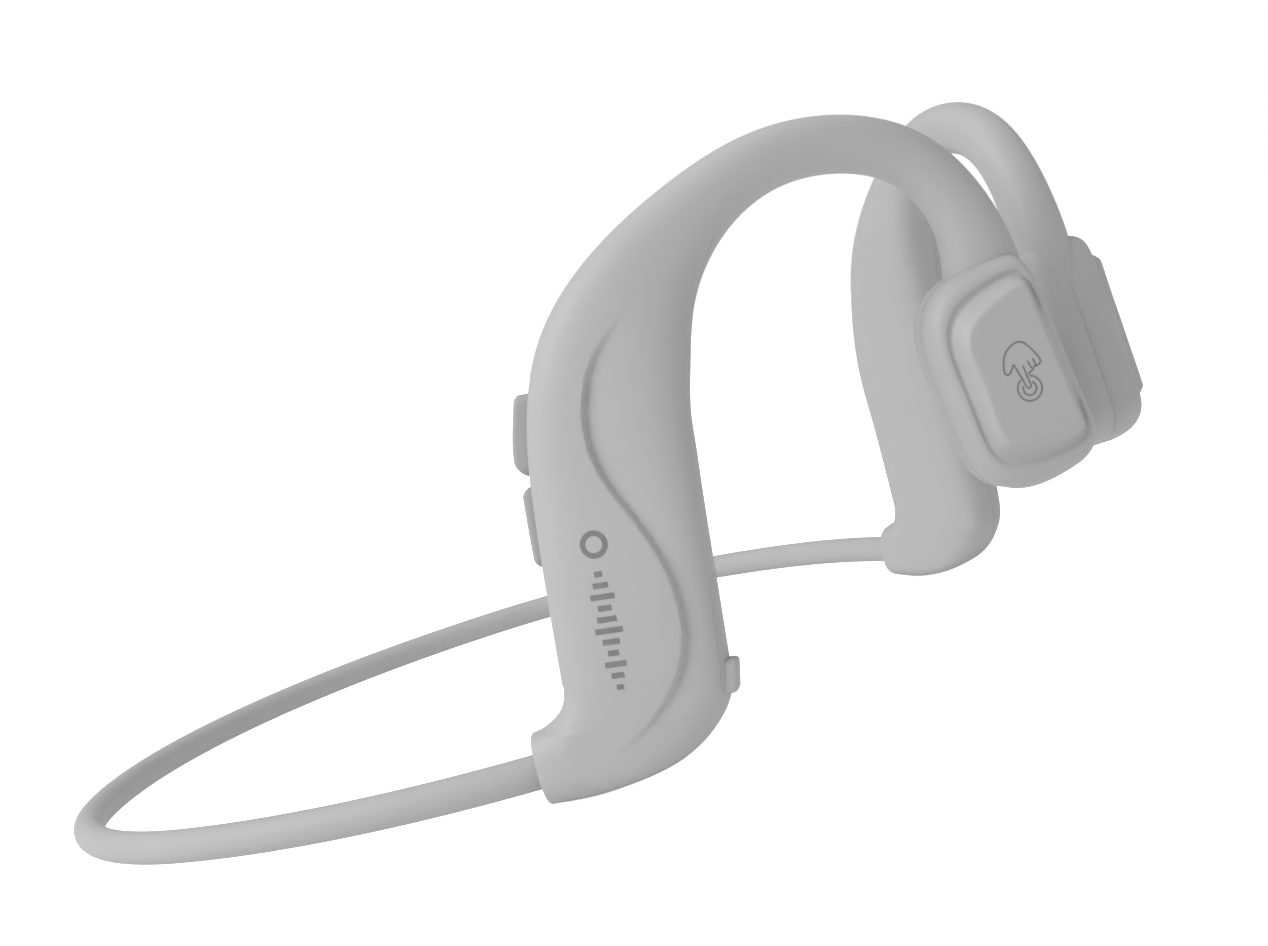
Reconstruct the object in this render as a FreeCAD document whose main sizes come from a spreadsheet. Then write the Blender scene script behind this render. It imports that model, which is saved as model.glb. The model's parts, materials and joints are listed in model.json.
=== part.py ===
import FreeCAD, Part

# Bone conduction headset: a neckband of sprung wire in a soft sleeve, and on each end a stem, an ear
# hook and a pod that rests on the cheekbone. The right stem holds the board, keys and charging socket,
# the left stem holds the cell, and each pod holds a vibration driver.
#
# Frame, in millimetres: the neckband lies in the plane Z = 0, X = 0 is the mirror plane, -Y is the
# wearer's forward and the origin is midway between the two ends of the neckband. The right unit is at
# -X. Every left piece is the mirror image of a right one, unless only one side has it.

import math
import os

import Sketcher
from FreeCAD import Matrix, Placement, Rotation, Vector

doc = FreeCAD.newDocument("headset")
sheet = doc.addObject("Spreadsheet::Sheet", "sizes")

SIZES = {
    # neckband
    "band_dia": 4.1,
    "band_side_arc": 76.4,
    "band_corner_arc": 48.0,
    "band_half_width": 66.2,
    "band_widest_at": 46.0,
    "band_back_at": 100.3,
    "band_wire_dia": 1.0,
    "band_cable_dia": 1.2,
    "band_wire_lift": 0.6,
    "band_cable_drop": 0.75,
    "band_insert": 5.0,
    "band_tail": 9.5,
    "crimp_dia": 1.4,
    "crimp_len": 3.0,
    # stem skin
    "skin_wall": 1.3,
    "stub_face_at": -14.2,
    "port_boss_at": 6.0,
    "stub_bore_out": 4.0,
    "tail_bore_dia": 3.5,
    "neck_bore_dia": 3.8,
    "bore_lap": 0.5,
    # ear hook
    "hook_wire_dia": 1.2,
    "hook_cable_dia": 1.0,
    "hook_wire_side": 0.75,
    # pod
    "pod_width": 14.0,
    "pod_height": 26.6,
    "pod_low": -14.1,
    "pod_rim": 4.0,
    "pod_inner": 4.9,
    "pod_split": 1.0,
    "pod_corner": 4.4,
    "pod_edge": 2.2,
    "pod_wall": 1.2,
    "plateau_width": 7.6,
    "plateau_height": 15.4,
    "plateau_rise": 1.3,
    "plateau_edge": 0.9,
    "pad_width": 9.6,
    "pad_height": 17.0,
    "pad_thick": 1.2,
    "pad_sunk": 0.6,
    "pad_corner": 3.2,
    "touch_width": 6.0,
    "touch_height": 11.0,
    "touch_thick": 0.3,
    "touch_depth": 0.9,
    # driver
    "driver_at": -2.0,
    "yoke_dia": 10.4,
    "yoke_height": 3.9,
    "yoke_wall": 0.7,
    "yoke_back": 0.8,
    "yoke_top": 2.1,
    "magnet_dia": 6.6,
    "magnet_height": 2.0,
    "pole_height": 0.6,
    "coil_outer": 8.3,
    "coil_inner": 7.3,
    "coil_height": 2.6,
    "coil_plate_dia": 10.6,
    "coil_plate": 0.5,
    "spring_dia": 10.9,
    "spring_thick": 0.2,
    "spring_hole": 1.6,
    # right stem
    "board_width": 8.2,
    "board_height": 30.6,
    "board_thick": 0.8,
    "board_back": -2.4,
    "board_centre": 1.2,
    "can_width": 8.6,
    "can_height": 9.4,
    "can_thick": 1.4,
    "socket_width": 8.94,
    "socket_thick": 3.2,
    "socket_depth": 6.6,
    "socket_mouth": 6.3,
    "socket_at": -10.6,
    "socket_wall": 0.3,
    "socket_back": 1.2,
    "tongue_thick": 0.7,
    "tongue_sink": 0.2,
    "tongue_width": 6.6,
    "tongue_long": 4.6,
    "mic_width": 2.9,
    "mic_height": 1.9,
    "mic_thick": 0.9,
    "mic_port_dia": 1.0,
    "key_length": 9.2,
    "key_width": 3.4,
    "key_reach": 4.1,
    "key_foot": -7.4,
    "key_flange": 0.6,
    "key_upper_at": 14.5,
    "key_lower_at": 4.1,
    "key_gap": 0.15,
    "key_lip": 0.4,
    "key_corner": 1.2,
    "key_edge": 0.7,
    "switch_gap": 3.0,
    "plunger_dia": 1.6,
    "plunger_len": 1.8,
    "switch_width": 3.4,
    "switch_height": 3.6,
    "switch_thick": 2.2,
    "key_board_thick": 0.6,
    "cover_top": -4.2,
    "cover_length": 13.2,
    "cover_width": 6.0,
    "cover_floor": 7.7,
    "cover_gap": 0.15,
    "plug_width": 8.4,
    "plug_thick": 2.6,
    "plug_depth": 0.9,
    "screw_dia": 1.3,
    "screw_head": 2.4,
    "screw_head_high": 0.6,
    "screw_len": 1.6,
    "standoff_dia": 2.6,
    "standoff_foot": -3.2,
    # left stem
    "cell_width": 11.4,
    "cell_height": 26.0,
    "cell_thick": 4.8,
    "foam_thick": 0.6,
    "guard_width": 9.0,
    "guard_height": 3.4,
    "guard_thick": 0.8,
}

for row, (alias, number) in enumerate(SIZES.items(), start=1):
    sheet.set(f"A{row}", alias)
    sheet.set(f"B{row}", str(number))
    sheet.setAlias(f"B{row}", alias)
doc.recompute()


def size(alias):
    """The number in the sheet's cell of that name."""
    return float(sheet.get(alias))


def bind(thing, prop, value):
    """Tie a property to an expression of sheet cells, or to a plain number."""
    thing.setExpression(prop, str(value))


# ---------------------------------------------------------------- frames
def axes_placement(origin, forward, up, outward):
    """The placement whose X, Y and Z axes are the three given unit vectors."""
    return Placement(Matrix(
        forward.x, up.x, outward.x, origin.x,
        forward.y, up.y, outward.y, origin.y,
        forward.z, up.z, outward.z, origin.z,
        0, 0, 0, 1))


def unit_frame(origin, up, heading):
    """A frame of the right unit: X towards the wearer's front, Y up, Z away from the head.

    heading is how far the outward direction turns from -X towards -Y, in degrees."""
    up = Vector(up).normalize()
    turn = math.radians(heading)
    outward = Vector(-math.cos(turn), -math.sin(turn), 0)
    outward = (outward - up * outward.dot(up)).normalize()
    return axes_placement(Vector(origin), up.cross(outward), up, outward)


def shifted(frame, forward, up, outward, turn=None):
    """A frame moved by three distances along its own axes, and turned if asked."""
    return frame.multiply(Placement(Vector(forward, up, outward), turn or Rotation()))


# The stem's frame has its origin on the stem's middle line. The hook's frame is the upright plane that
# its middle line lies in. The pod's frame leans its foot forward.
STEM = unit_frame((-43.0, -14.1, 22.0), (0.120, -0.050, 0.991), 25.0)
HOOK = unit_frame((-41.2, -15.4, 0.0), (0, 0, 1), 42.5)
POD_LEAN = 10.0
POD = shifted(unit_frame((-11.9, -49.2, 30.0), (0, 0, 1), 41.0), 0, 0, 0,
              Rotation(Vector(0, 0, 1), POD_LEAN))
FACE_BACK = Rotation(Vector(0, 1, 0), -90)
FACE_FRONT = Rotation(Vector(0, 1, 0), 90)
FACE_HEAD = Rotation(Vector(0, 1, 0), 180)


# ---------------------------------------------------------------- building helpers
def new_body(label, place):
    body = doc.addObject("PartDesign::Body", label)
    body.Label = label
    body.Placement = place
    return body


def new_sketch(body, lift, centre):
    """A sketch on the body's XY plane, raised by lift and moved to a centre."""
    plane = next(f for f in body.Origin.OriginFeatures if f.Role == "XY_Plane")
    sketch = body.newObject("Sketcher::SketchObject", body.Label + "_sketch")
    sketch.AttachmentSupport = [(plane, "")]
    sketch.MapMode = "FlatFace"
    sketch.AttachmentOffset = Placement(Vector(centre[0], centre[1], lift), Rotation())
    return sketch


def rectangle(body, width, height, lift=0.0, centre=(0.0, 0.0)):
    """A sketched rectangle about the sketch's origin. width and height are sheet expressions."""
    sketch = new_sketch(body, lift, centre)
    corners = [Vector(-1, -1, 0), Vector(1, -1, 0), Vector(1, 1, 0), Vector(-1, 1, 0)]
    for k in range(4):
        sketch.addGeometry(Part.LineSegment(corners[k], corners[(k + 1) % 4]), False)
    for k in range(4):
        sketch.addConstraint(Sketcher.Constraint("Coincident", k, 2, (k + 1) % 4, 1))
    for k, way in enumerate(("Horizontal", "Vertical", "Horizontal", "Vertical")):
        sketch.addConstraint(Sketcher.Constraint(way, k))
    sketch.addConstraint(Sketcher.Constraint("Symmetric", 0, 1, 1, 2, -1, 1))
    wide = sketch.addConstraint(Sketcher.Constraint("DistanceX", 0, 1, 0, 2, 2.0))
    tall = sketch.addConstraint(Sketcher.Constraint("DistanceY", 1, 1, 1, 2, 2.0))
    bind(sketch, f"Constraints[{wide}]", width)
    bind(sketch, f"Constraints[{tall}]", height)
    return sketch


def circle(body, radius, lift=0.0, centre=(0.0, 0.0)):
    """A sketched circle about the sketch's origin. radius is a sheet expression."""
    sketch = new_sketch(body, lift, centre)
    sketch.addGeometry(Part.Circle(Vector(), Vector(0, 0, 1), 1.0), False)
    sketch.addConstraint(Sketcher.Constraint("Coincident", 0, 3, -1, 1))
    wide = sketch.addConstraint(Sketcher.Constraint("Radius", 0, 1.0))
    bind(sketch, f"Constraints[{wide}]", radius)
    return sketch


def pad(body, sketch, length):
    feature = body.newObject("PartDesign::Pad", "pad")
    feature.Profile = sketch
    bind(feature, "Length", length)
    doc.recompute()
    return feature


def pocket(body, sketch, length):
    """Cut from the sketch's plane towards +Z of the body, and check that it did cut."""
    before = body.Shape.Volume
    feature = body.newObject("PartDesign::Pocket", "pocket")
    feature.Profile = sketch
    feature.Reversed = True
    bind(feature, "Length", length)
    doc.recompute()
    assert body.Shape.Volume < before - 1e-6, f"a pocket in {body.Label} cut nothing"
    return feature


def upright_edges(feature, within=None):
    """Names of the straight edges along the body's Z, those nearer the middle than within if given."""
    names = []
    for number, edge in enumerate(feature.Shape.Edges, start=1):
        if len(edge.Vertexes) != 2:
            continue
        start, end = edge.Vertexes[0].Point, edge.Vertexes[1].Point
        upright = math.hypot(end.x - start.x, end.y - start.y) < 1e-6
        if upright and (within is None or abs(start.x) < within):
            names.append(f"Edge{number}")
    return names


def level_edges(feature, level):
    """Names of the edges that lie at one height of the body's Z."""
    names = []
    for number, edge in enumerate(feature.Shape.Edges, start=1):
        if all(abs(vertex.Z - level) < 1e-6 for vertex in edge.Vertexes):
            names.append(f"Edge{number}")
    return names


def fillet(body, base, names, radius):
    feature = body.newObject("PartDesign::Fillet", "fillet")
    feature.Base = (base, names)
    bind(feature, "Radius", radius)
    doc.recompute()
    return feature


def block(label, place, width, height, thick, corner=None):
    """A rectangular plate standing on its XY plane, with rounded corners if asked."""
    body = new_body(label, place)
    top = pad(body, rectangle(body, width, height), thick)
    if corner is not None:
        fillet(body, top, upright_edges(top), corner)
    return body


def disc(label, place, radius, thick, bore=None):
    """A round plate or ring standing on its XY plane."""
    body = new_body(label, place)
    pad(body, circle(body, radius), thick)
    if bore is not None:
        pocket(body, circle(body, bore), thick)
    return body


def solid(label, shape):
    """A piece whose shape comes straight from Part's functions."""
    piece = doc.addObject("Part::Feature", label)
    piece.Label = label
    piece.Shape = shape
    return piece


def join(label, *parts):
    piece = doc.addObject("Part::MultiFuse", label)
    piece.Label = label
    piece.Shapes = list(parts)
    doc.recompute()
    return piece


def cut(label, base, *tools):
    """base less each tool in turn."""
    piece = base
    for number, tool in enumerate(tools, start=1):
        last = number == len(tools)
        step = doc.addObject("Part::Cut", label if last else f"{label}_cut_{number}")
        step.Base = piece
        step.Tool = tool
        piece = step
    piece.Label = label
    doc.recompute()
    return piece


def common(label, base, tool):
    piece = doc.addObject("Part::Common", label)
    piece.Label = label
    piece.Base = base
    piece.Tool = tool
    doc.recompute()
    return piece


def mirrored(label, source):
    """The left twin of a right piece, mirrored in X = 0."""
    twin = doc.addObject("Part::Mirroring", label)
    twin.Label = label
    twin.Source = source
    twin.Normal = Vector(1, 0, 0)
    doc.recompute()
    return twin


PIECES = []


def keep(*pieces):
    """List pieces that are written as sub-parts."""
    PIECES.extend(pieces)
    return pieces[0]


def keep_pair(piece):
    """Keep a right piece and its mirror image."""
    keep(piece, mirrored(piece.Label.replace("right_", "left_"), piece))
    return piece


# ---------------------------------------------------------------- swept tubes
def tube(label, path, diameter):
    """A round tube swept along a wire of tangent lines and arcs."""
    spine = solid(label + "_path", path)
    first = path.Edges[0]
    ring = doc.addObject("Part::Circle", label + "_ring")
    bind(ring, "Radius", diameter + " / 2")
    ring.Placement = Placement(first.Vertexes[0].Point,
                               Rotation(Vector(0, 0, 1), first.tangentAt(first.FirstParameter)))
    sweep = doc.addObject("Part::Sweep", label)
    sweep.Label = label
    sweep.Sections = [ring]
    sweep.Spine = (spine, [f"Edge{k + 1}" for k in range(len(path.Edges))])
    sweep.Solid = True
    sweep.Transition = "Transformed"
    doc.recompute()
    return sweep


def rounded_route(points, place):
    """A wire of straight runs joined by the largest tangent arcs, through points of a flat frame."""
    corners = [place.multVec(Vector(x, y, z)) for x, y, z in points]
    share = 0.45
    edges = []
    start = corners[0]
    for before, corner, after in zip(corners, corners[1:], corners[2:]):
        back, ahead = before - corner, after - corner
        reach = share * min(back.Length, ahead.Length)
        enter = corner + back.normalize() * reach
        leave = corner + ahead.normalize() * reach
        bisector = (back + ahead).normalize()
        half = math.acos(max(-1.0, min(1.0, back.dot(ahead)))) / 2
        radius = reach * math.tan(half)
        middle = corner + bisector * (radius / math.sin(half) - radius)
        edges.append(Part.LineSegment(start, enter).toShape())
        edges.append(Part.Arc(enter, middle, leave).toShape())
        start = leave
    edges.append(Part.LineSegment(start, corners[-1]).toShape())
    return Part.Wire(edges)


# ---------------------------------------------------------------- neckband
def mirror_point(point):
    return Vector(-point.x, point.y, point.z)


def band_route(lift, lead):
    """The neckband's line: tangent arcs round the neck, and a straight lead into each stem."""
    side, corner = size("band_side_arc"), size("band_corner_arc")
    half, widest, back = size("band_half_width"), size("band_widest_at"), size("band_back_at")
    side_centre = Vector(side - half, widest, lift)
    corner_centre = Vector(corner - half, widest, lift)
    # The back arc is centred on X = 0 and tangent to both corner arcs.
    across, depth = half - corner, back - widest
    rear = (across ** 2 + depth ** 2 - corner ** 2) / (2 * (depth - corner))
    rear_centre = Vector(0, back - rear, lift)

    def on_arc(centre, radius, degrees):
        turn = math.radians(degrees)
        return centre + Vector(math.cos(turn), math.sin(turn), 0) * radius

    start = 180 + math.degrees(math.asin(widest / side))
    towards = corner_centre - rear_centre
    meet = math.degrees(math.atan2(towards.y, towards.x))
    ends = [on_arc(side_centre, side, start),
            on_arc(side_centre, side, 180),
            on_arc(corner_centre, corner, meet)]
    middles = [on_arc(side_centre, side, (start + 180) / 2),
               on_arc(corner_centre, corner, (180 + meet) / 2)]
    turn = math.radians(start)
    heading = Vector(-math.sin(turn), math.cos(turn), 0)
    tip = ends[0] + heading * lead
    edges = [
        Part.LineSegment(tip, ends[0]),
        Part.Arc(ends[0], middles[0], ends[1]),
        Part.Arc(ends[1], middles[1], ends[2]),
        Part.Arc(ends[2], Vector(0, back, lift), mirror_point(ends[2])),
        Part.Arc(mirror_point(ends[2]), mirror_point(middles[1]), mirror_point(ends[1])),
        Part.Arc(mirror_point(ends[1]), mirror_point(middles[0]), mirror_point(ends[0])),
        Part.LineSegment(mirror_point(ends[0]), mirror_point(tip)),
    ]
    return Part.Wire([edge.toShape() for edge in edges]), ends[0], heading


band_core = keep(tube("neckband_core_wire",
                      band_route(size("band_wire_lift"), size("band_tail"))[0], "sizes.band_wire_dia"))
band_cable = keep(tube("neckband_cable",
                       band_route(-size("band_cable_drop"), size("band_tail"))[0],
                       "sizes.band_cable_dia"))
sleeve_route, BAND_END, BAND_HEADING = band_route(0.0, size("band_insert"))
band_blank = tube("neckband_blank", sleeve_route, "sizes.band_dia")
keep(cut("neckband_sleeve", band_blank, band_core, band_cable))

# A ferrule crimped on each end of the sprung wire keeps it from pulling out of the stem.
crimp_at = BAND_END + BAND_HEADING * (size("band_tail") - size("crimp_len"))
crimp_at.z = size("band_wire_lift")
crimp_right = disc("crimp_right", Placement(crimp_at, Rotation(Vector(0, 0, 1), BAND_HEADING)),
                   "sizes.crimp_dia / 2", "sizes.crimp_len", "sizes.band_wire_dia / 2")
keep(join("neckband_crimps", crimp_right, mirrored("crimp_left", crimp_right)))


# ---------------------------------------------------------------- lofted skins
def oval(place, half_wide, half_thick, squareness):
    """A closed outline between an ellipse (squareness 2) and a rounded rectangle (4).

    It has four edges, one for each side, that meet where it turns most."""
    steps = 5
    edges = []
    for side in range(4):
        points = []
        for k in range(steps + 1):
            turn = math.pi / 2 * (side - 0.5 + k / steps)
            cosine, sine = math.cos(turn), math.sin(turn)
            wide = half_wide * math.copysign(abs(cosine) ** (2 / squareness), cosine)
            thick = half_thick * math.copysign(abs(sine) ** (2 / squareness), sine)
            points.append(place.multVec(Vector(wide, thick, 0)))
        curve = Part.BSplineCurve()
        curve.interpolate(points)
        edges.append(curve.toShape())
    return Part.Wire(edges)


# Level cuts through the foot and the stem, in the stem's frame: height, back edge, front edge, half
# thickness, and how far the cut's middle lies towards the head. The foot's back edge runs on past the
# neckband's end face, which is cut flat afterwards.
STEM_LEVELS = (
    (-27.2, -17.5, -10.0, 2.3, 0.9),
    (-26.2, -19.0, -4.0, 3.3, 0.9),
    (-24.4, -19.0, 1.7, 3.9, 0.9),
    (-22.4, -19.0, 4.9, 4.2, 0.8),
    (-20.3, -18.5, 6.8, 4.4, 0.7),
    (-18.6, -14.2, 7.9, 4.5, 0.6),
    (-16.6, -11.4, 8.5, 4.7, 0.4),
    (-14.0, -10.3, 8.8, 4.8, 0.3),
    (-8.0, -10.1, 8.9, 4.9, 0.1),
    (0.0, -10.1, 8.9, 4.9, 0.0),
    (8.0, -10.0, 9.0, 4.9, 0.0),
    (12.0, -9.8, 9.1, 4.9, 0.0),
)
# Cuts across the unit's middle line above the stem, in the hook's frame: forward, height, half width,
# half thickness, heading and squareness. The stem ends and the ear hook starts at the fourth row.
HOOK_CUTS = (
    (0.0, 38.5, 9.2, 4.8, 28.0, 3.0),
    (2.7, 44.6, 8.4, 4.6, 30.0, 2.8),
    (7.5, 50.8, 6.4, 4.3, 33.0, 2.6),
    (14.7, 56.4, 4.4, 3.9, 37.0, 2.4),
    (23.5, 59.9, 3.4, 3.4, 40.0, 2.2),
    (32.6, 59.8, 3.2, 3.0, 42.0, 2.2),
    (40.8, 55.9, 3.0, 2.8, 42.0, 2.2),
    (45.7, 48.5, 3.2, 2.9, 42.0, 2.2),
    (46.6, 42.5, 3.4, 3.1, 42.0, 2.2),
    (46.4, 37.0, 3.4, 3.2, 42.0, 2.2),
)


def thickened(rows):
    """The rows with one more between each two, on a smooth curve through them."""
    out = []
    for k in range(len(rows) - 1):
        before, start = rows[max(k - 1, 0)], rows[k]
        end, after = rows[k + 1], rows[min(k + 2, len(rows) - 1)]
        out.append(start)
        out.append(tuple((9 * (a + b) - (c + d)) / 16 for c, a, b, d in zip(before, start, end, after)))
    return tuple(out) + (rows[-1],)


HOOK_CUTS = thickened(HOOK_CUTS)
NECK = 6
STEM_SQUARENESS = 3.2
EDGEWISE = Rotation(Vector(1, 0, 0), 90)


def stem_ring(level, wall=0.0, front_limit=None, back_limit=None):
    """The outline of one level cut, moved in by a wall."""
    height, back, front, half_thick, inward = level
    back, front = back + wall, front - wall
    if front_limit is not None:
        front = min(front, front_limit)
    if back_limit is not None:
        back = max(back, back_limit)
    place = shifted(STEM, (back + front) / 2, height, -inward, EDGEWISE)
    return oval(place, (front - back) / 2, half_thick - wall, STEM_SQUARENESS)


def hook_ring(number, wall=0.0):
    """The outline of one cut across the middle line, square to it, moved in by a wall."""
    forward, height, half_wide, half_thick, heading, squareness = HOOK_CUTS[number]
    before = HOOK_CUTS[max(number - 1, 0)]
    after = HOOK_CUTS[min(number + 1, len(HOOK_CUTS) - 1)]
    run = Vector(after[0] - before[0], after[1] - before[1], 0)
    along = HOOK.Rotation.multVec(run.normalize())
    frame = unit_frame(HOOK.multVec(Vector(forward, height, 0)), along, heading)
    return oval(shifted(frame, 0, 0, 0, EDGEWISE), half_wide - wall, half_thick - wall, squareness)


def loft(label, rings):
    """A solid with straight runs between the outlines."""
    return solid(label, Part.makeLoft(rings, True, True))


def stem_box(label, forward, up, outward):
    """A box in the stem's frame, each side given as (low, high)."""
    place = shifted(STEM, forward[0], up[0], outward[0])
    piece = doc.addObject("Part::Box", label)
    piece.Length = forward[1] - forward[0]
    piece.Width = up[1] - up[0]
    piece.Height = outward[1] - outward[0]
    piece.Placement = place
    return piece


wall = size("skin_wall")
FAR = 60.0
stem_loft = loft("stem_loft", [stem_ring(level) for level in STEM_LEVELS]
                 + [hook_ring(k) for k in range(NECK + 1)])
stub_trim = stem_box("stub_trim", (-FAR, size("stub_face_at")), (-FAR, FAR), (-FAR, FAR))
stem_blank = cut("stem_blank", stem_loft, stub_trim)

# The stem's hollow stops short of the stub, which grips the neckband, and of the charging port's boss.
HOLLOW_BACK = -8.6
BOSS_TOP = -2.0
hollow_rings = []
for level in STEM_LEVELS[3:]:
    limit = size("port_boss_at") if level[0] < BOSS_TOP else None
    hollow_rings.append(stem_ring(level, wall, limit, HOLLOW_BACK))
hollow_rings += [hook_ring(k, wall) for k in range(NECK)]
stem_hollow = loft("stem_hollow", hollow_rings)

hook_wire_side = size("hook_wire_side")
HOOK_ROUTE = ((0.6, 40.0), (2.8, 46.0), (8.2, 52.6), (18.0, 59.2), (32.5, 60.9), (43.2, 55.0),
              (46.9, 44.0), (46.2, 36.6))
hook_wire = tube("right_hook_core_wire",
                 rounded_route([(x, y, hook_wire_side) for x, y in HOOK_ROUTE], HOOK),
                 "sizes.hook_wire_dia")
hook_cable = tube("right_hook_cable",
                  rounded_route([(x, y, -hook_wire_side) for x, y in HOOK_ROUTE], HOOK),
                  "sizes.hook_cable_dia")
keep_pair(hook_wire)
keep_pair(hook_cable)

outer_half = stem_box("outer_half", (-FAR, FAR), (-FAR, FAR), (0, FAR))
inner_half = stem_box("inner_half", (-FAR, FAR), (-FAR, FAR), (-FAR, 0))


def bore(label, start, end, radius):
    """A round hole's cylinder from one point to another."""
    along = end - start
    piece = doc.addObject("Part::Cylinder", label)
    bind(piece, "Radius", radius)
    piece.Height = along.Length
    piece.Placement = Placement(start, Rotation(Vector(0, 0, 1), along))
    return piece


# The stub grips the neckband's sleeve in a blind bore, and its wire, cable and ferrule run on through a
# wider passage. At the top a slanting passage takes the hook's wire and cable through the neck.
NECK_BORE_FROM, NECK_BORE_TO = Vector(6.0, 49.5, 0), Vector(16.5, 57.9, 0)
lap = size("bore_lap")
sleeve_bore = bore("sleeve_bore", BAND_END - BAND_HEADING * size("stub_bore_out"),
                   BAND_END + BAND_HEADING * size("band_insert"), "sizes.band_dia / 2")
tail_bore = bore("tail_bore", BAND_END + BAND_HEADING * (size("band_insert") - lap),
                 BAND_END + BAND_HEADING * (size("band_tail") + lap), "sizes.tail_bore_dia / 2")
neck_bore = bore("neck_bore", HOOK.multVec(NECK_BORE_FROM), HOOK.multVec(NECK_BORE_TO),
                 "sizes.neck_bore_dia / 2")
stem_rooms = (stem_hollow, sleeve_bore, tail_bore, neck_bore)
outer_blank = cut("stem_outer_blank", common("stem_outer_solid", stem_blank, outer_half), *stem_rooms)
inner_blank = cut("stem_inner_blank", common("stem_inner_solid", stem_blank, inner_half), *stem_rooms)


# ---------------------------------------------------------------- charging port
def cover_box(label, grow):
    """The space of the port cover's plate, grown by a gap on every side but its outer one."""
    top, length = size("cover_top"), size("cover_length")
    half = size("cover_width") / 2
    return stem_box(label, (size("cover_floor") - grow, FAR), (top - length - grow, top + grow),
                    (-half - grow, half + grow))


socket_up = size("socket_at")
cover_plate = common("cover_plate", stem_blank, cover_box("cover_space", 0.0))
cover_plug = block("cover_plug",
                   shifted(STEM, size("cover_floor") - size("plug_depth"), socket_up, 0, FACE_FRONT),
                   "sizes.plug_thick", "sizes.plug_width", "sizes.plug_depth + 0.3",
                   "sizes.plug_thick / 2 - 0.1")
TAB_LOW, TAB_HIGH, TAB_OUT = -17.2, -13.6, 10.1
TAB_ROOT = size("cover_floor") + 0.2
tab = block("cover_tab", shifted(STEM, TAB_ROOT, (TAB_LOW + TAB_HIGH) / 2, 0, FACE_FRONT),
            "sizes.cover_width / 2", TAB_HIGH - TAB_LOW, TAB_OUT - TAB_ROOT, 0.6)
port_cover = keep(join("port_cover", cover_plate, cover_plug, tab))
port_recess = cover_box("port_recess", size("cover_gap"))
PORT_PLAY = 0.2
port_channel = stem_box(
    "port_channel", (HOLLOW_BACK + 3, size("cover_floor")),
    (socket_up - size("socket_width") / 2 - PORT_PLAY, socket_up + size("socket_width") / 2 + PORT_PLAY),
    (-size("socket_thick") / 2 - PORT_PLAY, size("socket_thick") / 2 + PORT_PLAY))

usb_socket = new_body("usb_socket", shifted(STEM, size("socket_mouth") - size("socket_depth"),
                                            socket_up, 0, FACE_FRONT))
shell_pad = pad(usb_socket, rectangle(usb_socket, "sizes.socket_thick", "sizes.socket_width"),
                "sizes.socket_depth")
shell_pad = fillet(usb_socket, shell_pad, upright_edges(shell_pad), "sizes.socket_thick / 2 - 0.3")
pocket(usb_socket, rectangle(usb_socket, "sizes.socket_thick - 2 * sizes.socket_wall",
                             "sizes.socket_width - 2 * sizes.socket_wall - 1", size("socket_back")),
       "sizes.socket_depth")
pad(usb_socket, rectangle(usb_socket, "sizes.tongue_thick", "sizes.tongue_width",
                          size("socket_back") - size("tongue_sink")), "sizes.tongue_long")
keep(usb_socket)


# ---------------------------------------------------------------- volume keys
def volume_key(label, up):
    """A key with a flange inside the back wall that keeps it in, and a dome's plunger behind it."""
    body = new_body(label + "_button", shifted(STEM, size("key_foot"), up, 0, FACE_BACK))
    pad(body, rectangle(body, "sizes.key_width + 2 * sizes.key_lip",
                        "sizes.key_length + 2 * sizes.key_lip"), "sizes.key_flange")
    stalk = pad(body, rectangle(body, "sizes.key_width", "sizes.key_length"), "sizes.key_reach")
    reach, half = size("key_reach"), size("key_width") / 2
    corners = [name for name in upright_edges(stalk, half + 0.01)]
    rounded = fillet(body, stalk, corners, "sizes.key_corner")
    fillet(body, rounded, level_edges(rounded, reach), "sizes.key_edge")
    plunger = disc(label + "_plunger",
                   shifted(STEM, size("key_foot") + size("plunger_len"), up, 0, FACE_BACK),
                   "sizes.plunger_dia / 2", "sizes.plunger_len")
    return keep(body, plunger)


def key_slot(label, up):
    """The slot of one key through the back wall, and the room its flange travels in."""
    gap, half, long = size("key_gap"), size("key_width") / 2, size("key_length") / 2
    lip = size("key_lip") + gap
    slot = stem_box(label + "_slot", (-FAR, size("key_foot") + 1), (up - long - gap, up + long + gap),
                    (-half - gap, half + gap))
    room = stem_box(label + "_room", (size("key_foot") - size("key_flange") - gap,
                                      size("key_foot") + 1),
                    (up - long - lip, up + long + lip), (-half - lip, half + lip))
    return join(label + "_opening", slot, room)


def switch(label, up):
    """A side-push switch: a block with a blind bore for the plunger."""
    foot = size("key_foot") + size("switch_gap")
    body = new_body(label, shifted(STEM, foot, up, 0, FACE_BACK))
    pad(body, rectangle(body, "sizes.switch_width", "sizes.switch_height"), "sizes.switch_thick")
    pocket(body, circle(body, "sizes.plunger_dia / 2 + 0.15", 0.6), "sizes.switch_thick")
    return body


UPPER, LOWER = size("key_upper_at"), size("key_lower_at")
volume_key("volume_up", UPPER)
volume_key("volume_down", LOWER)
key_switches = keep(join("key_switches", switch("switch_up", UPPER), switch("switch_down", LOWER)))
key_board = keep(block("key_board",
                       shifted(STEM, size("key_foot") + size("switch_gap") + size("key_board_thick"),
                               (UPPER + LOWER) / 2, 0, FACE_BACK),
                       5.0, "sizes.key_upper_at - sizes.key_lower_at + 6", "sizes.key_board_thick"))

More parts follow.
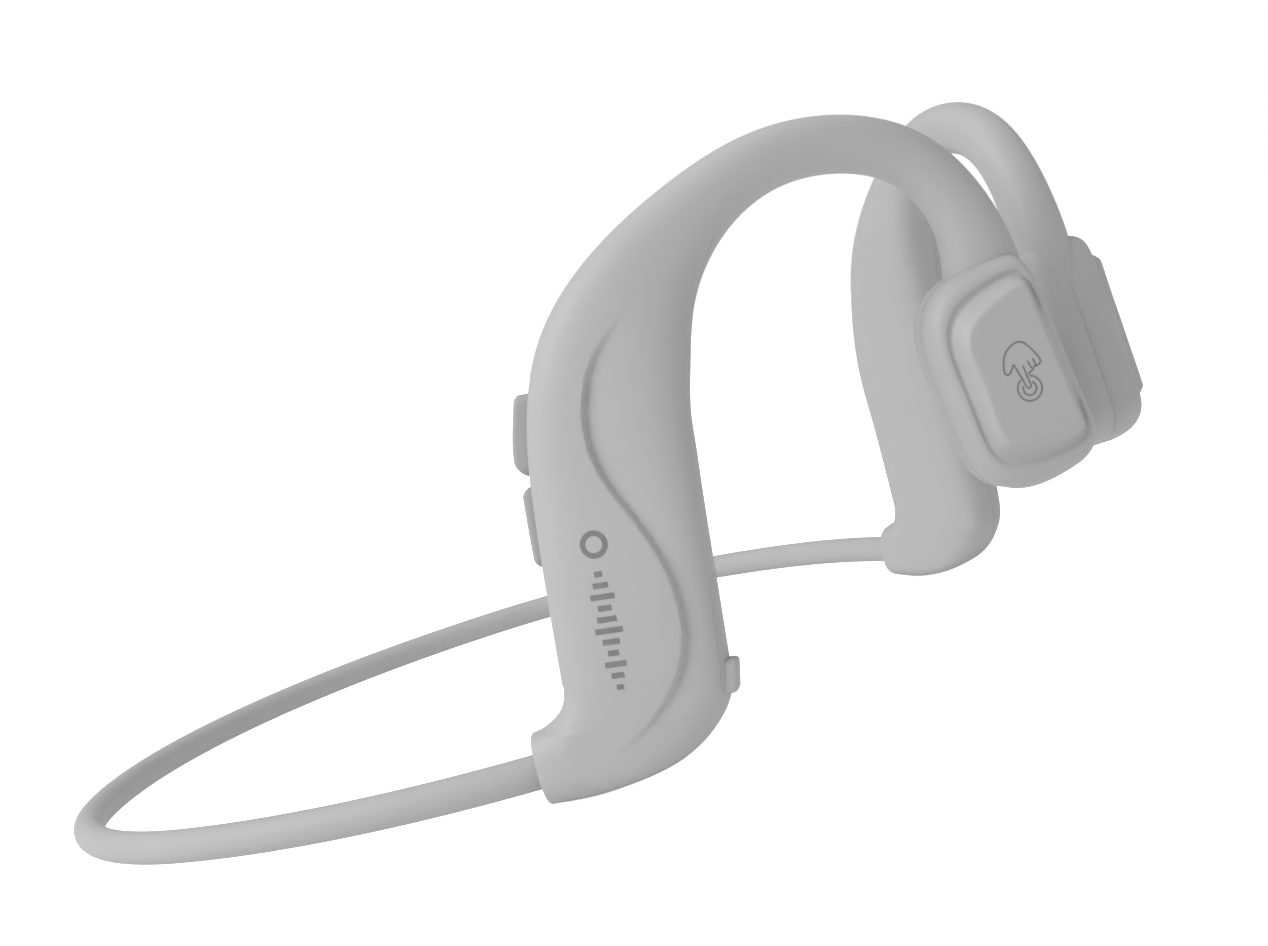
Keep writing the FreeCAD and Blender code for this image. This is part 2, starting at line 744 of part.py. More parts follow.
# ---------------------------------------------------------------- main board
board_mid = size("board_centre")
board_front = size("board_back") + size("board_thick")
SCREWS = ((-1.6, 13.4), (3.2, 13.4), (-1.6, -13.2))
board = new_body("main_circuit_board", shifted(STEM, board_mid, 0, size("board_back")))
board_pad = pad(board, rectangle(board, "sizes.board_width", "sizes.board_height"), "sizes.board_thick")
fillet(board, board_pad, upright_edges(board_pad), 0.8)
for forward, up in SCREWS:
    pocket(board, circle(board, "sizes.screw_dia / 2 + 0.1", 0.0, (forward - board_mid, up)),
           "sizes.board_thick")
keep(board)
keep(block("radio_module", shifted(STEM, board_mid, 7.0, board_front),
           "sizes.can_width", "sizes.can_height", "sizes.can_thick", 0.5))
MIC_FORWARD, MIC_UP = 2.4, -2.6
microphone = keep(block("microphone",
                        shifted(STEM, MIC_FORWARD, MIC_UP, size("board_back"), FACE_HEAD),
                        "sizes.mic_width", "sizes.mic_height", "sizes.mic_thick", 0.2))


def screw(label, forward, up):
    body = new_body(label, shifted(STEM, forward, up, board_front - size("screw_len")))
    pad(body, circle(body, "sizes.screw_dia / 2"), "sizes.screw_len")
    pad(body, circle(body, "sizes.screw_head / 2", size("screw_len")), "sizes.screw_head_high")
    return body


def standoff(label, forward, up):
    """A threaded brass post between the inner shell and the board, for one screw."""
    return disc(label, shifted(STEM, forward, up, size("standoff_foot")), "sizes.standoff_dia / 2",
                "sizes.board_back - sizes.standoff_foot", "sizes.screw_dia / 2")


keep(join("board_screws", *[screw(f"screw_{k}", *place) for k, place in enumerate(SCREWS)]))
keep(join("board_standoffs", *[standoff(f"standoff_{k}", *place) for k, place in enumerate(SCREWS)]))
mic_port = disc("mic_port", shifted(STEM, MIC_FORWARD, MIC_UP, -8.0), "sizes.mic_port_dia / 2", 5.5)

# ---------------------------------------------------------------- stem shells
key_openings = [key_slot("volume_up", UPPER), key_slot("volume_down", LOWER)]
openings = key_openings + [port_recess, port_channel]
keep(cut("right_stem_outer_shell", outer_blank, *openings))
keep(cut("right_stem_inner_shell", inner_blank, mic_port, *openings))
keep(mirrored("left_stem_outer_shell", outer_blank))
keep(mirrored("left_stem_inner_shell", inner_blank))

# ---------------------------------------------------------------- left stem: cell and its guard board
CELL_UP, CELL_BACK = 0.6, -2.2
cell = block("cell_right_side", shifted(STEM, -0.6, CELL_UP, CELL_BACK),
             "sizes.cell_width", "sizes.cell_height", "sizes.cell_thick", 1.2)
foam = block("foam_right_side", shifted(STEM, -0.6, CELL_UP, CELL_BACK - size("foam_thick")),
             "sizes.cell_width - 3", "sizes.cell_height - 5", "sizes.foam_thick", 1.0)
guard_up = CELL_UP + size("cell_height") / 2 + size("guard_height") / 2 + 0.3
guard = block("guard_right_side", shifted(STEM, -0.2, guard_up, -0.4),
              "sizes.guard_width", "sizes.guard_height", "sizes.guard_thick", 0.4)
keep(mirrored("battery_cell", cell))
keep(mirrored("battery_foam_pad", foam))
keep(mirrored("battery_protection_board", guard))


# ---------------------------------------------------------------- pods
pod_up = size("pod_low") + size("pod_height") / 2
pod_split = -size("pod_split")


def pod_blank(body, depth):
    """The pod's rounded outline, padded to a depth."""
    base = pad(body, rectangle(body, "sizes.pod_width", "sizes.pod_height"), depth)
    return fillet(body, base, upright_edges(base), "sizes.pod_corner")


def pod_room(label, outward, depth):
    """The pod's hollow, standing on a level of its own frame."""
    return block(label, shifted(POD, 0, pod_up, outward), "sizes.pod_width - 2 * sizes.pod_wall",
                 "sizes.pod_height - 2 * sizes.pod_wall", depth, "sizes.pod_corner - sizes.pod_wall")


outer_pod = new_body("pod_outer_blank", shifted(POD, 0, pod_up, pod_split))
rim = pod_blank(outer_pod, "sizes.pod_rim + sizes.pod_split")
rim_level = size("pod_rim") + size("pod_split")
fillet(outer_pod, rim, level_edges(rim, rim_level), "sizes.pod_edge")
plateau = pad(outer_pod, rectangle(outer_pod, "sizes.plateau_width", "sizes.plateau_height",
                                   rim_level - 0.5, (0, 0.2)), "sizes.plateau_rise + 0.5")
fillet(outer_pod, plateau, level_edges(plateau, rim_level + size("plateau_rise")), "sizes.plateau_edge")
outer_room = pod_room("pod_outer_room", pod_split, "sizes.pod_rim + sizes.pod_split - sizes.pod_wall")
touch_room = block("touch_room", shifted(POD, 0, pod_up, pod_split), "sizes.touch_width + 0.2",
                   "sizes.touch_height + 0.2",
                   "sizes.pod_rim + sizes.pod_split - sizes.pod_wall + sizes.touch_depth", 1.1)

inner_pod = new_body("pod_inner_blank", shifted(POD, 0, pod_up, -size("pod_inner")))
low = pod_blank(inner_pod, "sizes.pod_inner - sizes.pod_split")
fillet(inner_pod, low, level_edges(low, 0.0), "sizes.pod_edge")
inner_room = pod_room("pod_inner_room", size("pod_wall") - size("pod_inner"),
                      "sizes.pod_inner - sizes.pod_split - sizes.pod_wall")
pad_room = block("pad_room", shifted(POD, 0, pod_up, -size("pod_inner")),
                 "sizes.pad_width", "sizes.pad_height", "sizes.pad_sunk", "sizes.pad_corner")

hook_loft = loft("right_hook_loft", [hook_ring(k) for k in range(NECK, len(HOOK_CUTS))])
pod_envelope = block("pod_envelope", shifted(POD, 0, pod_up, -size("pod_inner")),
                     "sizes.pod_width", "sizes.pod_height", "sizes.pod_inner + sizes.pod_rim",
                     "sizes.pod_corner")
keep_pair(cut("right_hook_sleeve", hook_loft, pod_envelope, hook_wire, hook_cable))
keep_pair(cut("right_pod_outer_shell", outer_pod, outer_room, touch_room, hook_wire, hook_cable))
keep_pair(cut("right_pod_inner_shell", inner_pod, inner_room, pad_room, hook_wire, hook_cable))
keep_pair(block("right_contact_pad",
                shifted(POD, 0, pod_up, -size("pod_inner") - size("pad_thick") + size("pad_sunk")),
                "sizes.pad_width", "sizes.pad_height", "sizes.pad_thick", "sizes.pad_corner"))
keep_pair(block("right_touch_sensor",
                shifted(POD, 0, pod_up, size("pod_rim") - size("pod_wall") + size("touch_depth")
                        - size("touch_thick")),
                "sizes.touch_width", "sizes.touch_height", "sizes.touch_thick", 1.0))

# ---------------------------------------------------------------- vibration driver in the pod
driver_up = size("driver_at")
yoke_low = size("yoke_top") - size("yoke_height")
yoke = new_body("right_driver_yoke", shifted(POD, 0, driver_up, yoke_low))
pad(yoke, circle(yoke, "sizes.yoke_dia / 2"), "sizes.yoke_height")
yoke_room = new_body("yoke_room", shifted(POD, 0, driver_up, yoke_low))
pad(yoke_room, circle(yoke_room, "sizes.yoke_dia / 2 - sizes.yoke_wall"),
    "sizes.yoke_height - sizes.yoke_back")
yoke.Label = "yoke_blank"
keep_pair(cut("right_driver_yoke_cup", yoke, yoke_room))
magnet_low = size("yoke_top") - size("yoke_back") - size("magnet_height")
keep_pair(disc("right_driver_magnet", shifted(POD, 0, driver_up, magnet_low),
               "sizes.magnet_dia / 2", "sizes.magnet_height"))
keep_pair(disc("right_driver_pole", shifted(POD, 0, driver_up, magnet_low - size("pole_height")),
               "sizes.magnet_dia / 2", "sizes.pole_height"))
coil_low = -size("pod_inner") + size("pod_wall")
keep_pair(disc("right_coil_plate", shifted(POD, 0, driver_up, coil_low),
               "sizes.coil_plate_dia / 2", "sizes.coil_plate"))
keep_pair(disc("right_voice_coil", shifted(POD, 0, driver_up, coil_low + size("coil_plate")),
               "sizes.coil_outer / 2", "sizes.coil_height", "sizes.coil_inner / 2"))

spring = new_body("right_driver_spring", shifted(POD, 0, driver_up, size("yoke_top")))
pad(spring, circle(spring, "sizes.spring_dia / 2"), "sizes.spring_thick")
hole = pocket(spring, circle(spring, "sizes.spring_hole / 2", 0.0, (size("yoke_dia") / 2 - 1.6, 0)),
              "sizes.spring_thick")
ring = spring.newObject("PartDesign::PolarPattern", "holes")
ring.Originals = [hole]
ring.Axis = (next(f for f in spring.Origin.OriginFeatures if f.Role == "Z_Axis"), [""])
ring.Angle = 360
ring.Occurrences = 6
spring.Tip = ring
doc.recompute()
keep_pair(spring)


# ---------------------------------------------------------------- checks and files
doc.recompute()
for thing in doc.Objects:
    assert "Invalid" not in thing.State and "Error" not in thing.State, f"{thing.Label}: {thing.State}"
labels = [piece.Label for piece in PIECES]
assert len(set(labels)) == len(labels), "two pieces share a name"
os.makedirs("parts", exist_ok=True)
for piece in PIECES:
    shape = piece.Shape
    assert not shape.isNull() and shape.isValid() and shape.Solids, piece.Label
    shape.exportStep(os.path.join("parts", piece.Label + ".step"))
    box = shape.BoundBox
    print(f"{piece.Label:28s} solids {len(shape.Solids)} volume {shape.Volume:9.2f} "
          f"x {box.XMin:7.2f} {box.XMax:7.2f} y {box.YMin:7.2f} {box.YMax:7.2f} "
          f"z {box.ZMin:7.2f} {box.ZMax:7.2f}")
print(len(PIECES), "pieces")
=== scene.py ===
import json
import math

import bmesh
import bpy
import numpy as np
from mathutils import Matrix, Vector
from mathutils.bvhtree import BVHTree


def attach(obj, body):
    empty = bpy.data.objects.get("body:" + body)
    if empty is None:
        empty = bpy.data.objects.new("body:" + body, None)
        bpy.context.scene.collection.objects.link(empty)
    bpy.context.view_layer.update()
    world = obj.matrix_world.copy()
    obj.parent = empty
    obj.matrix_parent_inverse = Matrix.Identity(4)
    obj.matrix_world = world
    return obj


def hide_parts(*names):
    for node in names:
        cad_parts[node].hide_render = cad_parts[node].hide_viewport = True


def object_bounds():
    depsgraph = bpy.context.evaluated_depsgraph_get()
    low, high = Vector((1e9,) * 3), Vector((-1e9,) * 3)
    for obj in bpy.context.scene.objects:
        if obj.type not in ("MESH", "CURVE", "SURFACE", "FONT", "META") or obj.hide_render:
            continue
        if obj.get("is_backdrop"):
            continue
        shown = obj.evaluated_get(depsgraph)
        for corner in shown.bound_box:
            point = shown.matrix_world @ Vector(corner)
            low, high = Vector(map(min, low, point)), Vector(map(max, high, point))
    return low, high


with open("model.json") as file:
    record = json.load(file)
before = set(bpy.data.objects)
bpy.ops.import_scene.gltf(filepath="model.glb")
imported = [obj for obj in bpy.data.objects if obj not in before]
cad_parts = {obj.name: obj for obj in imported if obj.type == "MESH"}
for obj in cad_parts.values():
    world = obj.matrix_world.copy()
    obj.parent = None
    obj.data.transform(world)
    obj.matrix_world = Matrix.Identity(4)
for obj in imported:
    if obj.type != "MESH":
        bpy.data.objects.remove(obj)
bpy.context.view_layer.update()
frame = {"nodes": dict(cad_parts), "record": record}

MM = 0.001
# A surface that turns by more than this many degrees has a hard edge there.
SHARP = 38.0
POD_SHARP = 50.0


# ---------------------------------------------------------------- frames and curves
class Place:
    """A flat frame: origin in millimetres, and its forward, up and outward directions."""

    def __init__(self, origin, up, heading, lean=0.0):
        up = np.array(up, float) / np.linalg.norm(up)
        turn = math.radians(heading)
        outward = np.array([-math.cos(turn), -math.sin(turn), 0.0])
        outward -= (outward @ up) * up
        outward /= np.linalg.norm(outward)
        forward = np.cross(up, outward)
        a = math.radians(lean)
        self.origin = np.array(origin, float)
        self.forward = forward * math.cos(a) + up * math.sin(a)
        self.up = -forward * math.sin(a) + up * math.cos(a)
        self.outward = outward

    def at(self, u, v, w):
        u, v, w = np.broadcast_arrays(u, v, w)
        return (self.origin + u[..., None] * self.forward + v[..., None] * self.up
                + w[..., None] * self.outward)


STEM = Place((-43.0, -14.1, 22.0), (0.120, -0.050, 0.991), 25.0)
HOOK = Place((-41.2, -15.4, 0.0), (0, 0, 1), 42.5)
POD = Place((-11.9, -49.2, 30.0), (0, 0, 1), 41.0, 10.0)


def spline(knots, values, x):
    """A natural cubic spline through rows of values."""
    knots, values = np.array(knots, float), np.array(values, float)
    flat = values.reshape(len(knots), -1)
    h = np.diff(knots)
    n = len(knots)
    system = np.eye(n)
    right = np.zeros_like(flat)
    for i in range(1, n - 1):
        system[i, i - 1:i + 2] = h[i - 1], 2 * (h[i - 1] + h[i]), h[i]
        right[i] = 6 * ((flat[i + 1] - flat[i]) / h[i] - (flat[i] - flat[i - 1]) / h[i - 1])
    curve = np.linalg.solve(system, right)
    x = np.atleast_1d(np.array(x, float))
    k = np.clip(np.searchsorted(knots, x) - 1, 0, n - 2)
    t0, t1, hk = (knots[k + 1] - x)[:, None], (x - knots[k])[:, None], h[k][:, None]
    out = (curve[k] * t0 ** 3 + curve[k + 1] * t1 ** 3) / (6 * hk)
    out += (flat[k] / hk - curve[k] * hk / 6) * t0 + (flat[k + 1] / hk - curve[k + 1] * hk / 6) * t1
    return out.reshape((len(x),) + values.shape[1:])


def eased(knots, values, x):
    """A curve through the values that never overshoots them."""
    knots, values = np.array(knots, float), np.array(values, float)
    h, rise = np.diff(knots), np.diff(values) / np.diff(knots)
    slope = np.zeros(len(knots))
    slope[0], slope[-1] = rise[0], rise[-1]
    for i in range(1, len(knots) - 1):
        if rise[i - 1] * rise[i] > 0:
            a, b = 2 * h[i] + h[i - 1], h[i] + 2 * h[i - 1]
            slope[i] = (a + b) / (a / rise[i - 1] + b / rise[i])
    x = np.atleast_1d(np.array(x, float))
    k = np.clip(np.searchsorted(knots, x) - 1, 0, len(knots) - 2)
    t = np.clip((x - knots[k]) / h[k], 0, 1)
    return ((1 + 2 * t) * (1 - t) ** 2 * values[k] + t * (1 - t) ** 2 * h[k] * slope[k]
            + t * t * (3 - 2 * t) * values[k + 1] + t * t * (t - 1) * h[k] * slope[k + 1])


def smooth(x):
    """Eases 0 to 1 with level ends."""
    x = np.clip(x, 0, 1)
    return x * x * (3 - 2 * x)


def closed_curve(points, count):
    """Evenly spaced points on a smooth closed curve through the given ones."""
    ring = np.array(list(points) * 3, float)
    n = len(points)
    fine = spline(np.arange(3 * n), ring, np.linspace(n, 2 * n, 40 * n + 1))
    run = np.concatenate([[0], np.cumsum(np.linalg.norm(np.diff(fine, axis=0), axis=1))])
    at = np.linspace(0, run[-1], count, endpoint=False)
    return np.stack([np.interp(at, run, fine[:, k]) for k in range(2)], axis=1)


def oval(half_wide, half_thick, squareness, count):
    """Evenly spaced points round a section between an ellipse (squareness 2) and a rectangle."""
    turn = np.linspace(0, 2 * math.pi, 1441)
    c, s = np.cos(turn), np.sin(turn)
    x = half_wide * np.sign(c) * np.abs(c) ** (2 / squareness)
    y = half_thick * np.sign(s) * np.abs(s) ** (2 / squareness)
    run = np.concatenate([[0], np.cumsum(np.hypot(np.diff(x), np.diff(y)))])
    at = np.linspace(0, run[-1], count, endpoint=False)
    return np.interp(at, run, x), np.interp(at, run, y)


def rounded_outline(half_u, half_v, corner, count, centre=(0.0, 0.0)):
    """Evenly spaced points on a rectangle's outline with rounded corners."""
    points = []
    for side, (su, sv) in enumerate(((1, 1), (-1, 1), (-1, -1), (1, -1))):
        for k in range(13):
            turn = math.pi / 2 * (side + k / 12)
            points.append((su * (half_u - corner) + corner * math.cos(turn),
                           sv * (half_v - corner) + corner * math.sin(turn)))
    points.append(points[0])
    points = np.array(points) + np.array(centre)
    run = np.concatenate([[0], np.cumsum(np.linalg.norm(np.diff(points, axis=0), axis=1))])
    at = np.linspace(0, run[-1], count, endpoint=False)
    return np.stack([np.interp(at, run, points[:, k]) for k in range(2)], axis=1)


def inset(outline, distance):
    """A closed outline moved inwards, along its own normals."""
    along = np.roll(outline, -1, axis=0) - np.roll(outline, 1, axis=0)
    along /= np.linalg.norm(along, axis=1)[:, None]
    return outline + distance * np.stack([-along[:, 1], along[:, 0]], axis=1)


# ---------------------------------------------------------------- meshes
def mesh_object(name, points, faces, left=False, sharp=SHARP):
    """A mesh from points in millimetres; left mirrors it in X = 0."""
    points = np.array(points, float) * MM
    if left:
        points[:, 0] *= -1
        faces = [face[::-1] for face in faces]
    mesh = bpy.data.meshes.new(name)
    mesh.from_pydata([tuple(p) for p in points], [], [list(map(int, f)) for f in faces])
    mesh.validate()
    shade(mesh, sharp)
    thing = bpy.data.objects.new(name, mesh)
    bpy.context.scene.collection.objects.link(thing)
    return thing


def shade(mesh, sharp, turn_out=True):
    """Smooth faces, with hard edges where they turn by more than sharp; turn_out faces them outwards."""
    bm = bmesh.new()
    bm.from_mesh(mesh)
    bmesh.ops.remove_doubles(bm, verts=bm.verts, dist=1e-7)
    if turn_out:
        bmesh.ops.recalc_face_normals(bm, faces=bm.faces)
    limit = math.radians(sharp)
    for face in bm.faces:
        face.smooth = True
    for edge in bm.edges:
        edge.smooth = len(edge.link_faces) != 2 or edge.calc_face_angle(0.0) < limit
    bm.to_mesh(mesh)
    bm.free()


def strip_faces(rows, count):
    """Faces between rows of a closed ring of points."""
    faces = []
    for r in range(rows - 1):
        a, b = r * count, (r + 1) * count
        for k in range(count):
            m = (k + 1) % count
            faces.append((a + k, a + m, b + m, b + k))
    return faces


def stack(name, rings, left=False, sharp=SHARP):
    """A closed shape through rings of points, one above the other, with flat ends."""
    count = len(rings[0])
    faces = strip_faces(len(rings), count)
    faces.append(tuple(range(count))[::-1])
    faces.append(tuple(range((len(rings) - 1) * count, len(rings) * count)))
    return mesh_object(name, np.concatenate(rings), faces, left, sharp)


def closed_in(rings):
    """The rings with a few more across the last one's flat end, so that it shades evenly."""
    last = rings[-1]
    middle = last.mean(axis=0)
    return rings + [last + (middle - last) * share for share in (0.06, 0.2, 0.45, 0.75)]


def prism(name, place, outline, axis, low, high, left=False):
    """A straight prism: the outline lies across one of the frame's axes ('u', 'v' or 'w')."""
    rings = []
    for level in (low, high):
        a, b = outline[:, 0], outline[:, 1]
        full = np.full(len(outline), float(level))
        rings.append(place.at(*{"u": (full, a, b), "v": (a, full, b), "w": (a, b, full)}[axis]))
    return stack(name, rings, left)


def carve(target, tool, operation="DIFFERENCE"):
    """Cuts target with tool, or keeps their common part, and removes the tool."""
    step = target.modifiers.new("carve", "BOOLEAN")
    step.operation, step.object, step.solver = operation, tool, "EXACT"
    graph = bpy.context.evaluated_depsgraph_get()
    made = bpy.data.meshes.new_from_object(target.evaluated_get(graph))
    target.modifiers.clear()
    target.data = made
    shade(made, SHARP, turn_out=False)
    bpy.data.objects.remove(tool)
    return target


def halved(target, place, level, outward, left):
    """Keeps what lies outward, or inward, of a level of the frame, and closes the cut."""
    flip = np.array([-1.0 if left else 1.0, 1.0, 1.0])
    at = Vector((place.origin + level * place.outward) * flip)
    way = Vector(place.outward * flip)
    bm = bmesh.new()
    bm.from_mesh(target.data)
    bmesh.ops.scale(bm, vec=(1000, 1000, 1000), verts=bm.verts)
    bmesh.ops.bisect_plane(bm, geom=bm.verts[:] + bm.edges[:] + bm.faces[:], dist=1e-5, plane_co=at,
                           plane_no=way, clear_inner=outward, clear_outer=not outward)
    rim = [edge for edge in bm.edges if len(edge.link_faces) == 1]
    bmesh.ops.triangle_fill(bm, use_beauty=True, use_dissolve=False, edges=rim, normal=way)
    bmesh.ops.scale(bm, vec=(MM, MM, MM), verts=bm.verts)
    bm.to_mesh(target.data)
    bm.free()
    shade(target.data, SHARP)
    return target


def copied(source, name):
    """A second object with its own mesh."""
    twin = source.copy()
    twin.data = source.data.copy()
    twin.name = name
    bpy.context.scene.collection.objects.link(twin)
    return twin


# ---------------------------------------------------------------- the unit's skin
# The stem's edges by height in its own frame: the foot's underside and front, then the straight front.
FRONT_UP = (-27.35, -27.2, -26.8, -26.3, -25.9, -25.2, -24.3, -23.4, -22.4, -21.4, -20.4, -19.0, -17.3,
            -15.0, -11.7, -4.0, 4.2, 12.0)
FRONT_AT = (-13.2, -10.7, -7.2, -4.7, -2.9, -0.4, 1.9, 3.5, 4.9, 6.0, 6.9, 7.9, 8.6,
            8.85, 8.9, 8.9, 8.9, 9.1)
BACK_UP = (-27.35, -19.3, -19.15, -19.0, -18.75, -18.35, -17.7, -16.8, -15.8, -14.6, -12.5,
           -6.0, 2.0, 8.0, 12.0)
BACK_AT = (-17.02, -17.0, -15.6, -14.6, -13.7, -12.9, -11.9, -11.0, -10.45, -10.2, -10.15,
           -10.2, -10.2, -10.05, -9.8)
FOOT = -27.35
SQUARE = 3.2
FOOT_ROUND = 3.4
STUB_UP = -23.3
# Cuts across the middle line above the stem, in the hook's frame: forward, height, half width, half
# thickness, heading and squareness.
CUTS = (
    (0.0, 38.5, 9.2, 4.8, 28.0, 3.0),
    (2.7, 44.6, 8.4, 4.6, 30.0, 2.8),
    (7.5, 50.8, 6.4, 4.3, 33.0, 2.6),
    (14.7, 56.4, 4.4, 3.9, 37.0, 2.4),
    (23.5, 59.9, 3.5, 3.5, 40.0, 2.2),
    (32.6, 59.8, 3.3, 3.2, 42.0, 2.2),
    (40.8, 55.9, 3.3, 3.1, 42.0, 2.2),
    (45.2, 48.5, 3.7, 3.2, 42.0, 2.2),
    (46.0, 42.5, 4.5, 3.4, 42.0, 2.2),
    (45.6, 37.0, 5.4, 3.5, 42.0, 2.2),
)
NECK_ROW = 3
STRAIGHT = (-14.0, -8.0, 0.0, 8.0)
# The crease on the stem's outer face, from its top end to the foot.
CREASE = ((4.9, 27.0), (2.1, 24.2), (-0.4, 21.2), (-2.0, 17.2), (-2.4, 13.5), (-2.0, 10.4), (-0.8, 7.2),
          (1.2, 3.6), (3.1, -0.2), (4.3, -3.8), (4.75, -7.2), (4.6, -10.4), (3.8, -13.3), (2.2, -16.0),
          (-0.4, -18.9), (-3.4, -21.2), (-6.6, -22.9))
CREASE_DEEP = 0.85
CREASE_EDGE = 0.45
CREASE_WAY = 3.2


def section_rows():
    """Knots along the middle line with each cut's centre, directions and sizes, from V = -14 up."""
    rows = []
    for up in STRAIGHT:
        back, front = eased(BACK_UP, BACK_AT, up)[0], eased(FRONT_UP, FRONT_AT, up)[0]
        inward = np.interp(up, (-14, -8, 0), (0.3, 0.1, 0.0))
        rows.append((STEM.at((back + front) / 2, up, -inward), STEM.forward, STEM.outward,
                     (front - back) / 2, np.interp(up, (-14, -8), (4.8, 4.9)), SQUARE))
    for k, (forward, height, wide, thick, heading, square) in enumerate(CUTS):
        before, after = CUTS[max(k - 1, 0)], CUTS[min(k + 1, len(CUTS) - 1)]
        run = HOOK.forward * (after[0] - before[0]) + HOOK.up * (after[1] - before[1])
        here = Place(HOOK.at(forward, height, 0.0), run, heading)
        rows.append((here.origin, here.forward, here.outward, wide, thick, square))
    return rows


ROWS = section_rows()
KNOTS = [STRAIGHT[0]]
for k in range(1, len(ROWS)):
    KNOTS.append(KNOTS[-1] + float(np.linalg.norm(ROWS[k][0] - ROWS[k - 1][0])))
TABLE = np.array([np.concatenate([r[0], r[1], r[2], r[3:]]) for r in ROWS])
NECK_AT = KNOTS[len(STRAIGHT) + NECK_ROW]


def crease_points():
    """Fine points along the crease, and how far along it each is, from 0 to 1."""
    fine = spline(np.arange(len(CREASE)), CREASE, np.linspace(0, len(CREASE) - 1, 260))
    run = np.concatenate([[0], np.cumsum(np.linalg.norm(np.diff(fine, axis=0), axis=1))])
    return fine, run / run[-1]


CREASE_LINE, CREASE_RUN = crease_points()


def sunk(points):
    """How far the outer face sinks in front of the crease, for points in millimetres."""
    flat = np.stack([(points - STEM.origin) @ STEM.forward, (points - STEM.origin) @ STEM.up], axis=-1)
    apart = np.linalg.norm(flat[:, None, :] - CREASE_LINE[None], axis=2)
    near = np.argmin(apart, axis=1)
    near_in = np.clip(near, 1, len(CREASE_LINE) - 2)
    along = CREASE_LINE[near_in + 1] - CREASE_LINE[near_in - 1]
    away = flat - CREASE_LINE[near]
    side = along[:, 0] * away[:, 1] - along[:, 1] * away[:, 0]
    distance = apart[np.arange(len(near)), near]
    t = CREASE_RUN[near]
    strength = smooth(t / 0.22) * smooth((1 - t) / 0.3)
    drop = smooth(distance / CREASE_EDGE) * np.exp(-np.maximum(distance - CREASE_EDGE, 0) / CREASE_WAY)
    return np.where(side > 0, CREASE_DEEP * strength * drop, 0.0)


def foot_ring(up, count):
    """A level cut through the foot."""
    back, front = eased(BACK_UP, BACK_AT, up)[0], eased(FRONT_UP, FRONT_AT, up)[0]
    inward = np.interp(up, (-25, -18, -14), (0.9, 0.6, 0.3))
    depth = min((up - FOOT) / FOOT_ROUND, 1.0)
    thick = np.interp(up, (-24, -19, -14), (4.4, 4.55, 4.8)) * math.sqrt(1 - (1 - max(depth, 0.02)) ** 2)
    x, y = oval((front - back) / 2, max(thick, 0.3), SQUARE, count)
    u = x + (front + back) / 2
    if up > STUB_UP:
        top = np.interp(u, BACK_AT[1:10], BACK_UP[1:10])
        high = np.clip((up - STUB_UP) / (top - STUB_UP), 0, 1)
        narrow = np.maximum(1 - high ** 2.6, 0.0) ** (1 / 2.6)
        share = smooth((-9.3 - u) / 2.4)
        y = y * np.maximum(1 - share + share * narrow, 0.03)
    return STEM.at(u, np.full(count, float(up)), y - inward)


def upper_ring(s, count, wall=0.0):
    """A cut across the middle line at s, from V = -14 to the end of the hook."""
    row = spline(KNOTS, TABLE, s)[0]
    centre, forward, outward = row[:3], row[3:6], row[6:9]
    forward, outward = forward / np.linalg.norm(forward), outward / np.linalg.norm(outward)
    x, y = oval(row[9] - wall, row[10] - wall, row[11], count)
    return centre + x[:, None] * forward + y[:, None] * outward


RING = 224
levels = list(np.arange(FOOT + 0.02, -26.4, 0.09)) + list(np.arange(-26.4, -19.6, 0.3)) \
    + list(np.arange(-19.6, -18.0, 0.06)) + list(np.arange(-18.0, -14.0, 0.3))
steps = list(np.linspace(KNOTS[0], NECK_AT, 170))
stem_rings = [foot_ring(up, RING) for up in levels] + [upper_ring(s, RING) for s in steps]


def creased(rings):
    """The rings with the outer face sunk in front of the crease."""
    out = []
    for ring in rings:
        normal = (ring - ring.mean(axis=0)) @ STEM.outward
        face = smooth(normal / 2.2)
        out.append(ring - (sunk(ring) * face)[:, None] * STEM.outward)
    return out


STUB_FACE = ((-14.6, -19.8), (-13.6, -27.4))
# The hollow inside: how thick the skin is, and the hollow's back and front in the stem's frame.
STEM_WALL = 1.3
HOLLOW_BACK, HOLLOW_FRONT = -8.6, 6.0
HOLLOW_RING = 48


def box_tool(name, place, u, v, w, corner=0.0, left=False):
    """A block in a frame, from low to high along each axis, with rounded corners across u."""
    outline = rounded_outline((v[1] - v[0]) / 2, (w[1] - w[0]) / 2, max(corner, 0.01), 48,
                              ((v[0] + v[1]) / 2, (w[0] + w[1]) / 2))
    return prism(name, place, outline, "u", u[0], u[1], left)


def slanted_tool(left):
    """What lies behind the stub's flat end face."""
    (u1, v1), (u2, v2) = STUB_FACE
    lean = (u2 - u1) / (v2 - v1)
    low, high = v2 - 6, v1 + 3.5
    corners = [(-30, low), (u1 + (low - v1) * lean, low), (u1 + (high - v1) * lean, high), (-30, high)]
    return prism("stub_tool", STEM, np.array(corners, float), "w", -12, 12, left)


